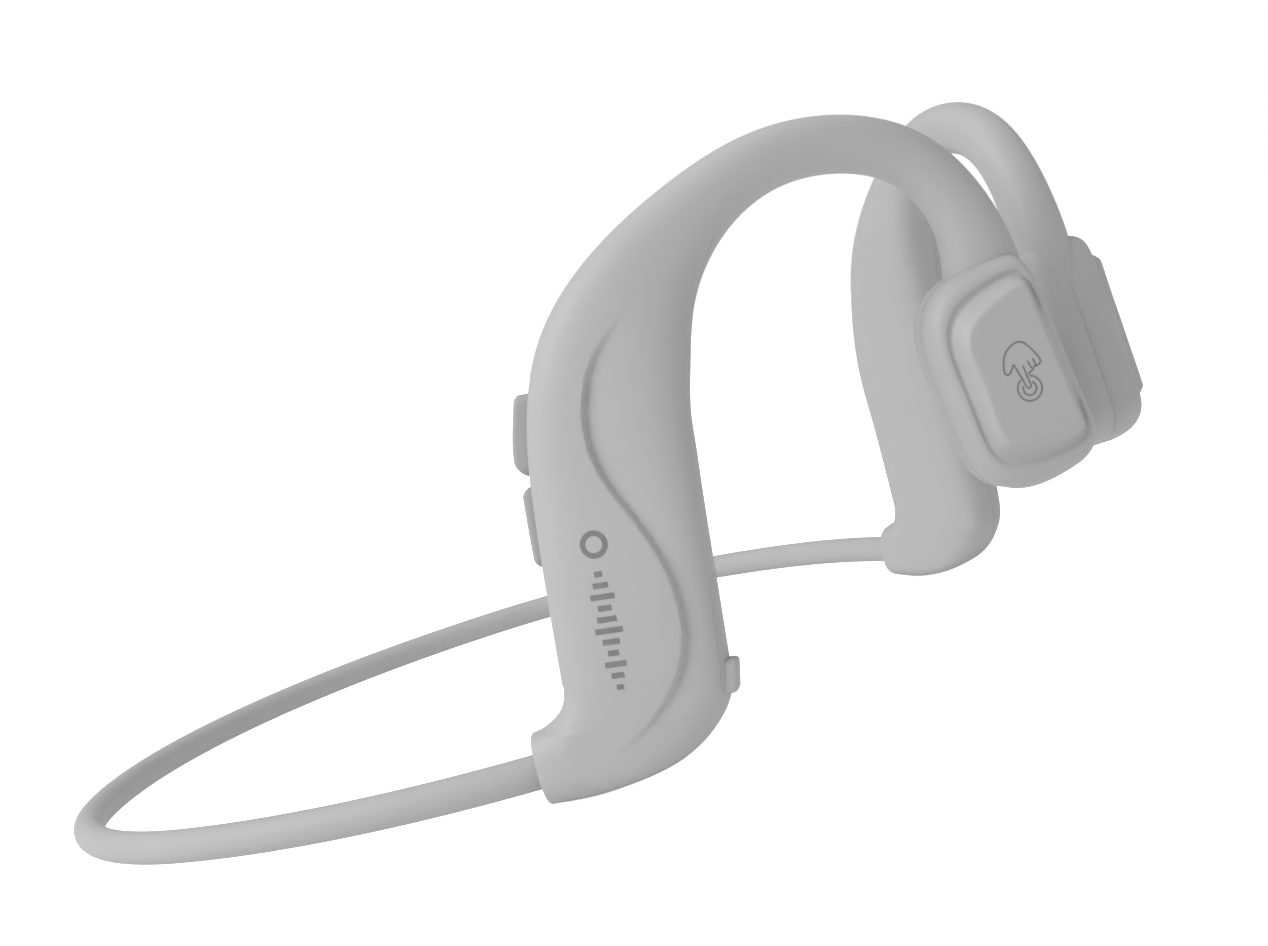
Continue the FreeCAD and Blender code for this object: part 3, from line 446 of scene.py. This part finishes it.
def cavity(left):
    """The hollow inside the stem, short of the stub and of the charging port."""
    rings = []
    for up in (-24.6, -22.5, -20.5, -18.5, -16.5):
        back, front = HOLLOW_BACK, min(eased(FRONT_UP, FRONT_AT, up)[0] - STEM_WALL, HOLLOW_FRONT)
        x, y = oval((front - back) / 2, 3.2, SQUARE, HOLLOW_RING)
        rings.append(STEM.at(x + (front + back) / 2, np.full(HOLLOW_RING, up), y - 0.5))
    for s in np.linspace(KNOTS[0], NECK_AT - 4.0, 26):
        ring = upper_ring(s, HOLLOW_RING, STEM_WALL)
        flat_u = (ring - STEM.origin) @ STEM.forward
        flat_v = (ring - STEM.origin) @ STEM.up
        limit = np.where(flat_v < -2.0, HOLLOW_FRONT, 99.0)
        past = np.maximum(flat_u - limit, 0) + np.minimum(flat_u - HOLLOW_BACK, 0) * (flat_v < 20)
        ring = ring - past[:, None] * STEM.forward
        outer = smooth(((ring - ring.mean(axis=0)) @ STEM.outward) / 2)
        rings.append(ring - 0.45 * outer[:, None] * STEM.outward)
    return stack("cavity", rings, left)


KEY_LONG, KEY_WIDE, KEY_FOOT = 9.2, 3.4, -7.4
KEYS = {"volume_up": 14.5, "volume_down": 4.1}
# Where each key's outer face lies, by height.
KEY_FACES = {"volume_up": ((9.9, 11.6, 19.1), (-10.65, -11.45, -10.3)),
             "volume_down": ((-0.5, 0.6, 7.6, 8.7), (-10.75, -11.0, -11.1, -10.6))}
COVER_TOP, COVER_LOW, COVER_HALF, COVER_FLOOR = -4.2, -17.4, 2.5, 7.7
PLAY = 0.1
SEAM = 0.05
# Room round a key's flange, and how far a cutting block reaches past the skin.
FLANGE_ROOM = 0.55
FAR = 30
# The charging port's way in, behind the cover: its back end, underside, top and half width.
CHANNEL_BACK, CHANNEL_LOW, CHANNEL_TOP, CHANNEL_HALF = -5.6, -15.27, -5.93, 1.8
# Half the gap where the stem's halves meet.
HALF_GAP = 0.02


def stem_solid(side):
    """The stem's whole outside with the stub's end cut flat."""
    left = side == "left"
    solid = stack(side + "_stem_solid", creased(stem_rings), left)
    return carve(solid, slanted_tool(left))


def stem_halves(side):
    """The stem's outer and inner halves and, on the right, the cover cut from its front edge."""
    left = side == "left"
    solid = stem_solid(side)
    cover = None
    carve(solid, cavity(left))
    if not left:
        cover = stem_solid(side)
        carve(cover, box_tool("cover_tool", STEM, (COVER_FLOOR, FAR), (COVER_LOW, COVER_TOP),
                              (-COVER_HALF, COVER_HALF), 1.4), "INTERSECT")
        carve(solid, box_tool("recess_tool", STEM, (COVER_FLOOR, FAR), (COVER_LOW - SEAM, COVER_TOP + SEAM),
                              (-COVER_HALF - SEAM, COVER_HALF + SEAM), 1.5))
        carve(solid, box_tool("channel_tool", STEM, (CHANNEL_BACK, COVER_FLOOR + 0.05),
                              (CHANNEL_LOW, CHANNEL_TOP), (-CHANNEL_HALF, CHANNEL_HALF), 1.7))
        for name, up in KEYS.items():
            carve(solid, box_tool(name + "_slot_tool", STEM, (-FAR, KEY_FOOT + 1),
                                  (up - KEY_LONG / 2 - PLAY, up + KEY_LONG / 2 + PLAY),
                                  (-KEY_WIDE / 2 - PLAY, KEY_WIDE / 2 + PLAY), 1.3))
            carve(solid, box_tool(name + "_room_tool", STEM, (KEY_FOOT - 0.75, KEY_FOOT + 1.05),
                                  (up - KEY_LONG / 2 - FLANGE_ROOM, up + KEY_LONG / 2 + FLANGE_ROOM),
                                  (-KEY_WIDE / 2 - FLANGE_ROOM, KEY_WIDE / 2 + FLANGE_ROOM), 0.3))
    inner = copied(solid, side + "_stem_inner_skin")
    solid.name = side + "_stem_outer_skin"
    halved(solid, STEM, HALF_GAP, True, left)
    halved(inner, STEM, -HALF_GAP, False, left)
    return solid, inner, cover


def hook_sleeve(side):
    """The ear hook, from the stem's top to the pod."""
    rings = [upper_ring(s, 96) for s in np.linspace(NECK_AT, KNOTS[-1], 120)]
    return stack(side + "_hook_skin", rings, side == "left")


# ---------------------------------------------------------------- pods
POD_RING = 240
pod_outline = closed_curve(
    [(7.2, 0.4), (7.35, 5.7), (7.25, 8.8), (6.6, 10.9), (4.9, 11.9), (1.5, 12.15), (-1.3, 11.95),
     (-3.6, 11.2), (-5.4, 9.8), (-6.6, 7.9), (-7.3, 5.4), (-7.6, 2.0), (-7.8, -3.0), (-7.85, -7.0),
     (-7.5, -9.4), (-6.5, -11.5), (-4.6, -13.1), (-1.6, -13.95), (1.75, -13.95),
     (4.2, -13.55), (5.8, -12.6), (6.7, -11.2), (7.0, -9.1),
     (7.1, -4.6)], POD_RING)
plateau_outline = closed_curve(
    [(5.0, 0.0), (5.08, 4.2), (5.2, 7.0), (4.9, 8.1), (3.8, 8.4), (2.4, 8.3), (0.2, 7.75), (-1.9, 7.0),
     (-3.3, 6.0), (-4.1, 4.6), (-4.4, 2.6), (-4.5, -0.6), (-4.75, -3.6), (-4.9, -5.8), (-4.6, -7.1),
     (-3.7, -7.95), (-1.4, -8.55), (1.6, -9.1), (3.6, -9.4), (4.5, -9.15),
     (4.8, -8.1), (4.9, -4.0)], POD_RING)
# Across the rim and the hollow round the plateau: share of the way in from the rim, and height. Where the
# plateau comes close to the rim there is no hollow.
RIM = ((0.0, 1.4), (0.02, 1.9), (0.07, 2.5), (0.14, 3.0), (0.24, 3.4), (0.36, 3.62), (0.47, 3.66),
       (0.56, 3.5), (0.63, 3.42), (0.7, 3.6), (0.8, 4.15), (0.9, 4.75), (1.0, 5.15))
RIM_CLOSE = ((0.0, 1.4), (0.04, 2.0), (0.12, 2.7), (0.25, 3.2), (0.45, 3.6), (0.7, 4.1), (0.9, 4.7),
             (1.0, 5.15))
PLATEAU_EDGE = ((0.08, 5.28), (0.2, 5.38), (0.36, 5.44), (0.5, 5.45))
PLATEAU_TOP = 5.45


def lined_up(outline, onto):
    """The outline's points turned so that the first one faces onto's first one."""
    a = np.arctan2(outline[:, 1] + 0.6, outline[:, 0])
    target = np.unwrap(np.arctan2(onto[:, 1] + 0.6, onto[:, 0]))
    order = np.argsort(a)
    a, pts = a[order], outline[order]
    a = np.concatenate([a - 2 * math.pi, a, a + 2 * math.pi])
    pts = np.concatenate([pts] * 3)
    turned = (target + math.pi) % (2 * math.pi) - math.pi
    return np.stack([np.interp(turned, a, pts[:, k]) for k in range(2)], axis=1)


plateau_outline = lined_up(plateau_outline, pod_outline)
SPLIT = -1.0
POD_WALL = 1.2
EDGE_ROLL = 2.0


def level_ring(outline, level):
    """An outline at one level of the pod's frame."""
    return POD.at(outline[:, 0], outline[:, 1], np.full(len(outline), float(level)))


def pod_outer(side):
    """The pod's outer half, hollow, with its rim and the raised touch panel."""
    rings = []
    room = inset(pod_outline, POD_WALL)
    centre = plateau_outline.mean(axis=0)
    small = centre + (plateau_outline - centre) * 0.8
    rings.append(level_ring(small, 3.75))
    rings.append(level_ring(small, 2.5))
    rings.append(level_ring(room, 2.45))
    rings.append(level_ring(room, SPLIT + 0.01))
    rings.append(level_ring(inset(pod_outline, 0.03), SPLIT + 0.01))
    rings.append(level_ring(pod_outline, SPLIT + 0.04))
    shares, heights = zip(*RIM)
    fine = np.linspace(0, 1, 40) ** 1.3
    near = np.linalg.norm(plateau_outline - pod_outline, axis=1)
    hollowed = smooth((near - 2.3) / 1.2)
    for share, deep, plain in zip(fine, eased(shares, heights, fine), eased(*zip(*RIM_CLOSE), fine)):
        shape = pod_outline + (plateau_outline - pod_outline) * share
        rings.append(POD.at(shape[:, 0], shape[:, 1], plain + (deep - plain) * hollowed))
    for distance, height in PLATEAU_EDGE:
        rings.append(level_ring(inset(plateau_outline, distance), height))
    return stack(side + "_pod_outer_skin", closed_in(rings), side == "left", POD_SHARP)


PAD = rounded_outline(4.8, 8.5, 3.2, POD_RING, (0, -0.8))
PAD = lined_up(PAD, pod_outline)
FACE = -4.9
# The contact pad: how deep its seat is, how far it stands out, and the rounding of its edge.
PAD_SEAT, PAD_PROUD, PAD_ROUND = 0.6, 0.15, 0.45


def pod_inner(side):
    """The pod's inner half, hollow, with the seat of the contact pad."""
    rings = []
    room = inset(pod_outline, POD_WALL)
    rings.append(level_ring(room, FACE + POD_WALL))
    rings.append(level_ring(room, SPLIT - 0.01))
    rings.append(level_ring(inset(pod_outline, 0.03), SPLIT - 0.01))
    rings.append(level_ring(pod_outline, SPLIT - 0.04))
    for k in range(13):
        turn = math.pi / 2 * k / 12
        rings.append(level_ring(inset(pod_outline, EDGE_ROLL * (1 - math.cos(turn))),
                                FACE + EDGE_ROLL * (1 - math.sin(turn))))
    rings.append(level_ring(PAD + (inset(pod_outline, EDGE_ROLL) - PAD) * 0.08, FACE))
    rings.append(level_ring(PAD, FACE + 0.1))
    rings.append(level_ring(PAD, FACE + PAD_SEAT))
    return stack(side + "_pod_inner_skin", rings, side == "left", POD_SHARP)


def contact_pad(side):
    """The pad that rests on the cheek."""
    shape = inset(PAD, 0.05)
    rings = [level_ring(shape, FACE + 0.58), level_ring(shape, FACE - PAD_PROUD)]
    for k in range(1, 9):
        turn = math.pi / 2 * k / 8
        rings.append(level_ring(inset(shape, PAD_ROUND * (1 - math.cos(turn))),
                                FACE - PAD_PROUD - PAD_ROUND * math.sin(turn)))
    return stack(side + "_contact_pad_skin", closed_in(rings), side == "left")


# ---------------------------------------------------------------- neckband
def band_line():
    """The neckband's middle line in millimetres."""
    side_r, corner_r, half, widest, back = 76.4, 48.0, 66.2, 46.0, 100.3
    side_c, corner_c = np.array([side_r - half, widest]), np.array([corner_r - half, widest])
    across, depth = half - corner_r, back - widest
    rear = (across ** 2 + depth ** 2 - corner_r ** 2) / (2 * (depth - corner_r))
    rear_c = np.array([0.0, back - rear])
    start = math.pi + math.asin(widest / side_r)
    towards = corner_c - rear_c
    meet = math.atan2(towards[1], towards[0])
    line = []
    first = side_c + side_r * np.array([math.cos(start), math.sin(start)])
    heading = np.array([-math.sin(start), math.cos(start)])
    for t in np.linspace(1, 0, 10, endpoint=False):
        line.append(first + heading * 5.0 * t)
    for a in np.linspace(start, math.pi, 90, endpoint=False):
        line.append(side_c + side_r * np.array([math.cos(a), math.sin(a)]))
    for a in np.linspace(math.pi, meet, 60, endpoint=False):
        line.append(corner_c + corner_r * np.array([math.cos(a), math.sin(a)]))
    for a in np.linspace(meet, math.pi / 2, 60):
        line.append(rear_c + rear * np.array([math.cos(a), math.sin(a)]))
    half_line = np.array(line)
    other = half_line[-2::-1] * np.array([-1, 1])
    flat = np.concatenate([half_line, other])
    return np.column_stack([flat, np.zeros(len(flat))])


def band(diameter=4.1, count=48):
    """The neckband's sleeve."""
    line = band_line()
    rings = []
    for k in range(len(line)):
        run = line[min(k + 1, len(line) - 1)] - line[max(k - 1, 0)]
        across = np.cross(run / np.linalg.norm(run), (0, 0, 1))
        turn = np.linspace(0, 2 * math.pi, count, endpoint=False)
        rings.append(line[k] + diameter / 2 * (np.cos(turn)[:, None] * across
                                               + np.sin(turn)[:, None] * np.array([0, 0, 1.0])))
    return stack("neckband_skin", rings)


# ---------------------------------------------------------------- keys and the port cover
def key(name, up):
    """A long rounded key with a flange behind the skin."""
    flange_thick, edge_round = 0.6, 0.6
    flange = rounded_outline(KEY_LONG / 2 + 0.4, KEY_WIDE / 2 + 0.4, 0.5, 120, (up, 0))
    stalk = rounded_outline(KEY_LONG / 2, KEY_WIDE / 2, 1.2, 120, (up, 0))
    rings = []

    def add(outline, u):
        rings.append(STEM.at(np.full(len(outline), 1.0) * u, outline[:, 0], outline[:, 1]))

    add(flange, KEY_FOOT)
    add(flange, KEY_FOOT - flange_thick)
    add(stalk, KEY_FOOT - flange_thick)
    for k in range(11):
        turn = math.pi / 2 * k / 10
        shape = inset(stalk, edge_round * (1 - math.cos(turn)))
        add(shape, eased(*KEY_FACES[name], shape[:, 0]) + edge_round * (1 - math.sin(turn)))
    inner = np.array([up, 0.0])
    for share in (0.15, 0.4, 0.7, 0.95):
        flat = shape + (inner - shape) * share
        add(flat, eased(*KEY_FACES[name], flat[:, 0]) - 0.05 * share)
    return stack(name + "_key_skin", rings)


def cover_tab():
    """The tab a fingernail lifts the port cover by, and the cover's plug."""
    rings = []
    tab_up = -15.6
    outline = rounded_outline(1.9, 2.0, 0.7, 80, (tab_up, 0))
    for u, gone in ((7.9, 0.0), (9.2, 0.0), (9.45, 0.07), (9.65, 0.2), (9.75, 0.45)):
        shape = inset(outline, gone)
        rings.append(STEM.at(np.full(80, u) + 0.12 * (shape[:, 0] - tab_up), shape[:, 0], shape[:, 1]))
    tab = stack("cover_tab", rings)
    plug = prism("cover_plug", STEM, rounded_outline(4.2, 1.3, 1.2, 80, (-10.6, 0)), "u", 6.8, 8.0)
    return tab, plug


# ---------------------------------------------------------------- printed marks
def ribbon(name, place, line, width, top, deep=0.12, closed=False, left=False):
    """A flat printed line: points in the frame's plane, with the face's height at each."""
    line = np.array(line, float)
    n = len(line)
    if closed:
        run = np.roll(line, -1, axis=0) - np.roll(line, 1, axis=0)
    else:
        run = np.gradient(line, axis=0)
    run /= np.linalg.norm(run, axis=1)[:, None]
    normal = np.stack([-run[:, 1], run[:, 0]], axis=1) * width / 2
    a, b = line + normal, line - normal
    height = top(line) if callable(top) else np.full(n, float(top))
    points = np.concatenate([place.at(edge[:, 0], edge[:, 1], level) for edge, level in
                             ((a, height), (b, height), (b, height - deep), (a, height - deep))])
    faces = []
    for k in range(n if closed else n - 1):
        m = (k + 1) % n
        for q in range(4):
            r = (q + 1) % 4
            faces.append((q * n + k, q * n + m, r * n + m, r * n + k))
    if not closed:
        faces.append((0, n, 2 * n, 3 * n))
        faces.append((n - 1, 2 * n - 1, 3 * n - 1, 4 * n - 1)[::-1])
    return mesh_object(name, points, faces, left)


def merged(name, things):
    """Several closed shapes as one piece."""
    bm = bmesh.new()
    for thing in things:
        bm.from_mesh(thing.data)
        bpy.data.objects.remove(thing)
    mesh = bpy.data.meshes.new(name)
    bm.to_mesh(mesh)
    bm.free()
    made = bpy.data.objects.new(name, mesh)
    bpy.context.scene.collection.objects.link(made)
    return made


# How far print stands above its face, so that it is not hidden in it.
PROUD = 0.03
PRINT_WIDE = 0.2


def face_height(skin, left):
    """A function that gives the height just above the stem's outer face at points of its flat frame."""
    above = 12.0
    flip = np.array([-1.0 if left else 1.0, 1.0, 1.0])
    tree = BVHTree.FromPolygons([v.co for v in skin.data.vertices],
                                [f.vertices[:] for f in skin.data.polygons])

    def height(line):
        out = []
        for u, v in line:
            start = Vector(STEM.at(u, v, above) * MM * flip)
            out.append(above - tree.ray_cast(start, Vector(-STEM.outward * flip))[3] / MM + PROUD)
        return np.array(out)
    return height


def arc_line(centre, radius, opening, count=48):
    """A circle's line left open at its top by so many degrees to either side."""
    t = np.radians(np.linspace(90 + opening, 450 - opening, count))
    return [(centre[0] + radius * math.cos(a), centre[1] + radius * math.sin(a)) for a in t]


def circle_line(centre, radius, count=64):
    """Evenly spaced points round a circle."""
    turn = np.linspace(0, 2 * math.pi, count, endpoint=False)
    return np.column_stack([centre[0] + radius * np.cos(turn), centre[1] + radius * np.sin(turn)])


WAVE = (0.9, 1.7, 2.7, 1.5, 2.2, 3.1, 1.9, 1.2, 2.4, 1.4, 0.8)


def wave_mark(side, skin):
    """A row of short strokes like a sound level, and a ring above it."""
    left = side == "left"
    height = face_height(skin, left)
    parts = []
    for k, tall in enumerate(WAVE):
        up = -2.0 - 1.26 * k
        mid = -3.35 + 0.035 * k
        line = [(mid - tall / 2 + tall * t, up) for t in np.linspace(0, 1, 9)]
        parts.append(ribbon("stroke", STEM, line, 0.62, height, left=left))
    parts.append(ribbon("ring", STEM, circle_line((-3.3, 1.3), 1.25), 0.6, height, closed=True, left=left))
    return merged(side + "_wave_mark", parts)


def rounded_line(points):
    """Short smooth runs through points, close enough together to print."""
    points = np.array(points, float)
    return spline(np.arange(len(points)), points, np.linspace(0, len(points) - 1, 14 * len(points)))


def touch_mark(side):
    """A fingertip over two rings: where a touch is felt."""
    left = side == "left"
    top = PLATEAU_TOP + PROUD
    parts = [ribbon("ring_a", POD, arc_line((0.42, -2.75), 1.42, 24), PRINT_WIDE, top, left=left),
             ribbon("ring_b", POD, arc_line((0.42, -2.75), 0.78, 46), PRINT_WIDE, top, left=left)]
    hand = [(-0.25, 0.45), (-0.62, 0.05), (-1.05, -0.3), (-1.45, -0.2), (-1.5, 0.25), (-1.25, 0.95),
            (-0.9, 1.6), (-0.35, 2.15), (0.4, 2.5), (1.1, 2.6), (1.75, 2.35), (2.2, 1.7), (2.6, 0.75),
            (2.85, -0.15), (2.75, -0.6), (2.3, -0.75), (1.9, -0.75), (1.6, -1.0), (1.2, -1.1), (0.95, -1.3)]
    parts.append(ribbon("hand", POD, rounded_line(hand), PRINT_WIDE, top, left=left))
    finger = [(-0.2, 0.5), (-0.05, -0.6), (0.08, -1.7), (0.18, -2.45), (0.42, -2.72), (0.68, -2.5),
              (0.7, -1.8), (0.72, -0.8), (0.75, -0.1)]
    parts.append(ribbon("finger", POD, rounded_line(finger), PRINT_WIDE, top, left=left))
    for u in (1.45, 2.1):
        line = [(u, 0.15), (u + 0.05, -0.35), (u + 0.08, -0.8)]
        parts.append(ribbon("knuckle", POD, rounded_line(line), PRINT_WIDE, top, left=left))
    return merged(side + "_touch_mark", parts)


# ---------------------------------------------------------------- materials
def material(name, build):
    """A material whose nodes build sets up round the main shader."""
    made = bpy.data.materials.new(name)
    made.use_nodes = True
    tree = made.node_tree
    build(tree, tree.nodes["Principled BSDF"])
    return made


def linear(r, g, b):
    """A colour with full alpha."""
    return (r, g, b, 1.0)


def speckled(colour, spread, scale, rough, rough_spread=0.06, bump=0.0, bump_scale=4000.0, metal=0.0,
             coat=0.0, sheen=0.0, stretch=(1, 1, 1), specular=0.5):
    """A finish whose colour, gloss and grain vary a little over the surface."""
    def build(tree, shader):
        new, link = tree.nodes.new, tree.links.new
        place = new("ShaderNodeTexCoord")
        turn = new("ShaderNodeMapping")
        turn.inputs["Scale"].default_value = stretch
        link(place.outputs["Object"], turn.inputs["Vector"])
        noise = new("ShaderNodeTexNoise")
        noise.inputs["Scale"].default_value = scale
        noise.inputs["Detail"].default_value = 5.0
        link(turn.outputs["Vector"], noise.inputs["Vector"])
        ramp = new("ShaderNodeValToRGB")
        low = [c * (1 - spread) for c in colour]
        high = [min(1.0, c * (1 + spread)) for c in colour]
        ramp.color_ramp.elements[0].position, ramp.color_ramp.elements[1].position = 0.35, 0.65
        ramp.color_ramp.elements[0].color = linear(*low)
        ramp.color_ramp.elements[1].color = linear(*high)
        link(noise.outputs["Fac"], ramp.inputs["Fac"])
        link(ramp.outputs["Color"], shader.inputs["Base Color"])
        gloss = new("ShaderNodeMapRange")
        gloss.inputs["To Min"].default_value = max(rough - rough_spread, 0.02)
        gloss.inputs["To Max"].default_value = min(rough + rough_spread, 1.0)
        link(noise.outputs["Fac"], gloss.inputs["Value"])
        link(gloss.outputs["Result"], shader.inputs["Roughness"])
        shader.inputs["Metallic"].default_value = metal
        shader.inputs["Specular IOR Level"].default_value = specular
        shader.inputs["Coat Weight"].default_value = coat
        shader.inputs["Sheen Weight"].default_value = sheen
        if bump:
            grain = new("ShaderNodeTexNoise")
            grain.inputs["Scale"].default_value = bump_scale
            grain.inputs["Detail"].default_value = 3.0
            link(turn.outputs["Vector"], grain.inputs["Vector"])
            raised = new("ShaderNodeBump")
            raised.inputs["Strength"].default_value = bump
            raised.inputs["Distance"].default_value = 0.00004
            link(grain.outputs["Fac"], raised.inputs["Height"])
            link(raised.outputs["Normal"], shader.inputs["Normal"])
    return build


def finish(name, *look, **more):
    """A material with a speckled finish."""
    return material(name, speckled(*look, **more))


GREY = (0.44, 0.44, 0.443)
M = {
    "soft_touch_shell": finish("soft_touch", GREY, 0.012, 60, 0.52, 0.03, 0.12, 5200,
                               specular=0.35, sheen=0.05),
    "soft_silicone": finish("silicone", (0.43, 0.43, 0.433), 0.015, 90, 0.56, 0.03, 0.1, 4600,
                            specular=0.3, sheen=0.08),
    "key_rubber": finish("key_rubber", (0.36, 0.36, 0.365), 0.02, 120, 0.6, 0.04, 0.12, 4200,
                         specular=0.3),
    "pad_silicone": finish("pad_silicone", (0.42, 0.42, 0.425), 0.02, 120, 0.6, 0.04, 0.15, 3800,
                           specular=0.3),
    "sprung_wire": finish("sprung_wire", (0.60, 0.60, 0.62), 0.05, 900, 0.28, 0.06, 0.15, 3000,
                          1.0, stretch=(1, 1, 6)),
    "cable_jacket": finish("cable_jacket", (0.03, 0.03, 0.035), 0.2, 700, 0.5, 0.08, 0.2, 2500),
    "switch_plastic": finish("switch_plastic", (0.03, 0.03, 0.03), 0.2, 900, 0.45, 0.06, 0.1, 3500),
    "plated_steel": finish("plated_steel", (0.62, 0.62, 0.62), 0.05, 1500, 0.3, 0.08, 0.1, 3000,
                           1.0, stretch=(1, 8, 1)),
    "nickel_magnet": finish("nickel_magnet", (0.68, 0.66, 0.62), 0.04, 800, 0.18, 0.05, 0.05, 2500,
                            1.0),
    "brass": finish("brass_turned", (0.70, 0.50, 0.20), 0.06, 1400, 0.3, 0.08, 0.1, 3000, 1.0),
    "copper_coil": finish("copper_coil", (0.60, 0.24, 0.10), 0.18, 3200, 0.35, 0.08, 0.5, 6000,
                          1.0, 0.4, stretch=(1, 1, 9)),
    "cell_foil": finish("cell_foil", (0.60, 0.61, 0.62), 0.06, 400, 0.38, 0.08, 0.3, 1400, 1.0),
    "foam": finish("foam", (0.04, 0.04, 0.045), 0.3, 2600, 0.95, 0.04, 0.8, 5200),
    "flex_film": finish("flex_film", (0.50, 0.22, 0.04), 0.12, 500, 0.25, 0.05, 0.05, 2500, 0.0, 0.5),
    "circuit_board": finish("circuit_board", (0.01, 0.12, 0.05), 0.25, 1300, 0.35, 0.06, 0.2, 2600,
                            0.0, 0.3),
    "hard_plastic": finish("hard_plastic", (0.62, 0.59, 0.52), 0.05, 700, 0.5, 0.05, 0.1, 3000),
    "print": finish("print_grey", (0.20, 0.20, 0.20), 0.06, 900, 0.6, 0.05, 0.1, 5200),
}
slots = {row["node"]: row["material_slot"] for row in frame["record"]["subparts"]}
for node, thing in frame["nodes"].items():
    thing.data.materials.clear()
    thing.data.materials.append(M[slots[node]])


def finish_piece(thing, body, slot, *stands_for, paint=None):
    """Paints a piece with its slot's finish, or with paint if given, puts it on its body and hides the CAD
    nodes it stands for.
    """
    thing.data.materials.clear()
    thing.data.materials.append(M[paint or slot])
    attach(thing, body)
    if stands_for:
        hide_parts(*stands_for)
    return thing


# ---------------------------------------------------------------- the object
for side in ("right", "left"):
    outer, inner, cover = stem_halves(side)
    finish_piece(outer, "headset", "soft_touch_shell", side + "_stem_outer_shell")
    finish_piece(inner, "headset", "soft_touch_shell", side + "_stem_inner_shell")
    finish_piece(hook_sleeve(side), "headset", "soft_silicone", side + "_hook_sleeve",
                 paint="soft_touch_shell")
    finish_piece(pod_outer(side), "headset", "soft_touch_shell", side + "_pod_outer_shell")
    finish_piece(pod_inner(side), "headset", "soft_touch_shell", side + "_pod_inner_shell")
    finish_piece(contact_pad(side), "headset", "pad_silicone", side + "_contact_pad")
    finish_piece(wave_mark(side, outer), "headset", "soft_touch_shell", paint="print")
    finish_piece(touch_mark(side), "headset", "soft_touch_shell", paint="print")
    if cover is not None:
        whole = merged("port_cover_skin", [cover, *cover_tab()])
        shade(whole.data, SHARP)
        finish_piece(whole, "port_cover", "key_rubber", "port_cover", paint="soft_silicone")
finish_piece(band(), "headset", "soft_silicone", "neckband_sleeve")
for name, up in KEYS.items():
    finish_piece(key(name, up), name + "_key", "key_rubber", name + "_button")

# ---------------------------------------------------------------- floor, light and camera
scene = bpy.context.scene
scene.view_settings.view_transform = "Standard"
low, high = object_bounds()
ground = low.z - 0.0004
FLOOR_HALF = 4000
corners = [(x * FLOOR_HALF, y * FLOOR_HALF, ground * 1000) for x, y in ((-1, -1), (1, -1), (1, 1), (-1, 1))]
floor = mesh_object("floor", corners, [(0, 1, 2, 3)])


def floor_look(tree, shader):
    """A pale floor that the camera sees almost white, so that no horizon shows."""
    new, link = tree.nodes.new, tree.links.new
    place = new("ShaderNodeTexCoord")
    noise = new("ShaderNodeTexNoise")
    noise.inputs["Scale"].default_value = 3.0
    link(place.outputs["Object"], noise.inputs["Vector"])
    ramp = new("ShaderNodeValToRGB")
    ramp.color_ramp.elements[0].color = linear(0.90, 0.90, 0.90)
    ramp.color_ramp.elements[1].color = linear(0.93, 0.93, 0.93)
    link(noise.outputs["Fac"], ramp.inputs["Fac"])
    link(ramp.outputs["Color"], shader.inputs["Base Color"])
    shader.inputs["Roughness"].default_value = 0.9
    shader.inputs["Emission Color"].default_value = linear(1, 1, 1)
    ray = new("ShaderNodeLightPath")
    glow = new("ShaderNodeMapRange")
    glow.inputs["To Min"].default_value = 0.05
    glow.inputs["To Max"].default_value = 0.9
    link(ray.outputs["Is Camera Ray"], glow.inputs["Value"])
    link(glow.outputs["Result"], shader.inputs["Emission Strength"])


floor.data.materials.append(material("floor_white", floor_look))
floor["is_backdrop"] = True

world = bpy.data.worlds.new("studio")
world.use_nodes = True
scene.world = world
sky = world.node_tree
back = sky.nodes["Background"]
back.inputs["Color"].default_value = linear(1, 1, 1)
ray = sky.nodes.new("ShaderNodeLightPath")
level = sky.nodes.new("ShaderNodeMapRange")
level.inputs["To Min"].default_value = 0.46
level.inputs["To Max"].default_value = 1.0
sky.links.new(ray.outputs["Is Camera Ray"], level.inputs["Value"])
sky.links.new(level.outputs["Result"], back.inputs["Strength"])


def softbox(name, at, towards, width, height, power):
    """A soft lamp aimed at a point."""
    lamp = bpy.data.lights.new(name, "AREA")
    lamp.shape, lamp.size, lamp.size_y, lamp.energy = "RECTANGLE", width, height, power
    thing = bpy.data.objects.new(name, lamp)
    scene.collection.objects.link(thing)
    thing.location = Vector(at)
    thing.rotation_mode = "QUATERNION"
    thing.rotation_quaternion = (Vector(towards) - Vector(at)).to_track_quat("-Z", "Y")
    return thing


middle = Vector((-0.03, 0.0, 0.03))
softbox("key_light", (-0.62, 0.30, 0.55), middle, 0.6, 0.6, 4.9)
softbox("fill_light", (-0.35, -0.75, 0.25), middle, 0.6, 0.6, 0.3)
softbox("top_light", (0.1, 0.05, 0.9), middle, 0.8, 0.8, 1.7)

camera = bpy.data.objects.new("camera", bpy.data.cameras.new("camera"))
scene.collection.objects.link(camera)
camera.data.lens = 50.0
camera.data.sensor_width = 36.0
camera.data.clip_start, camera.data.clip_end = 0.01, 20.0
look = Vector((0.8261, 0.5582, -0.0769)).normalized()
sideways = Vector((0.5226, -0.8100, -0.2662)).normalized()
upwards = sideways.cross(look).normalized()
sideways = look.cross(upwards).normalized()
camera.matrix_world = Matrix.Translation(Vector((-0.2045, -0.1263, 0.0453))) @ Matrix(
    (sideways, upwards, -look)).transposed().to_4x4()
scene.camera = camera

low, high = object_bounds()
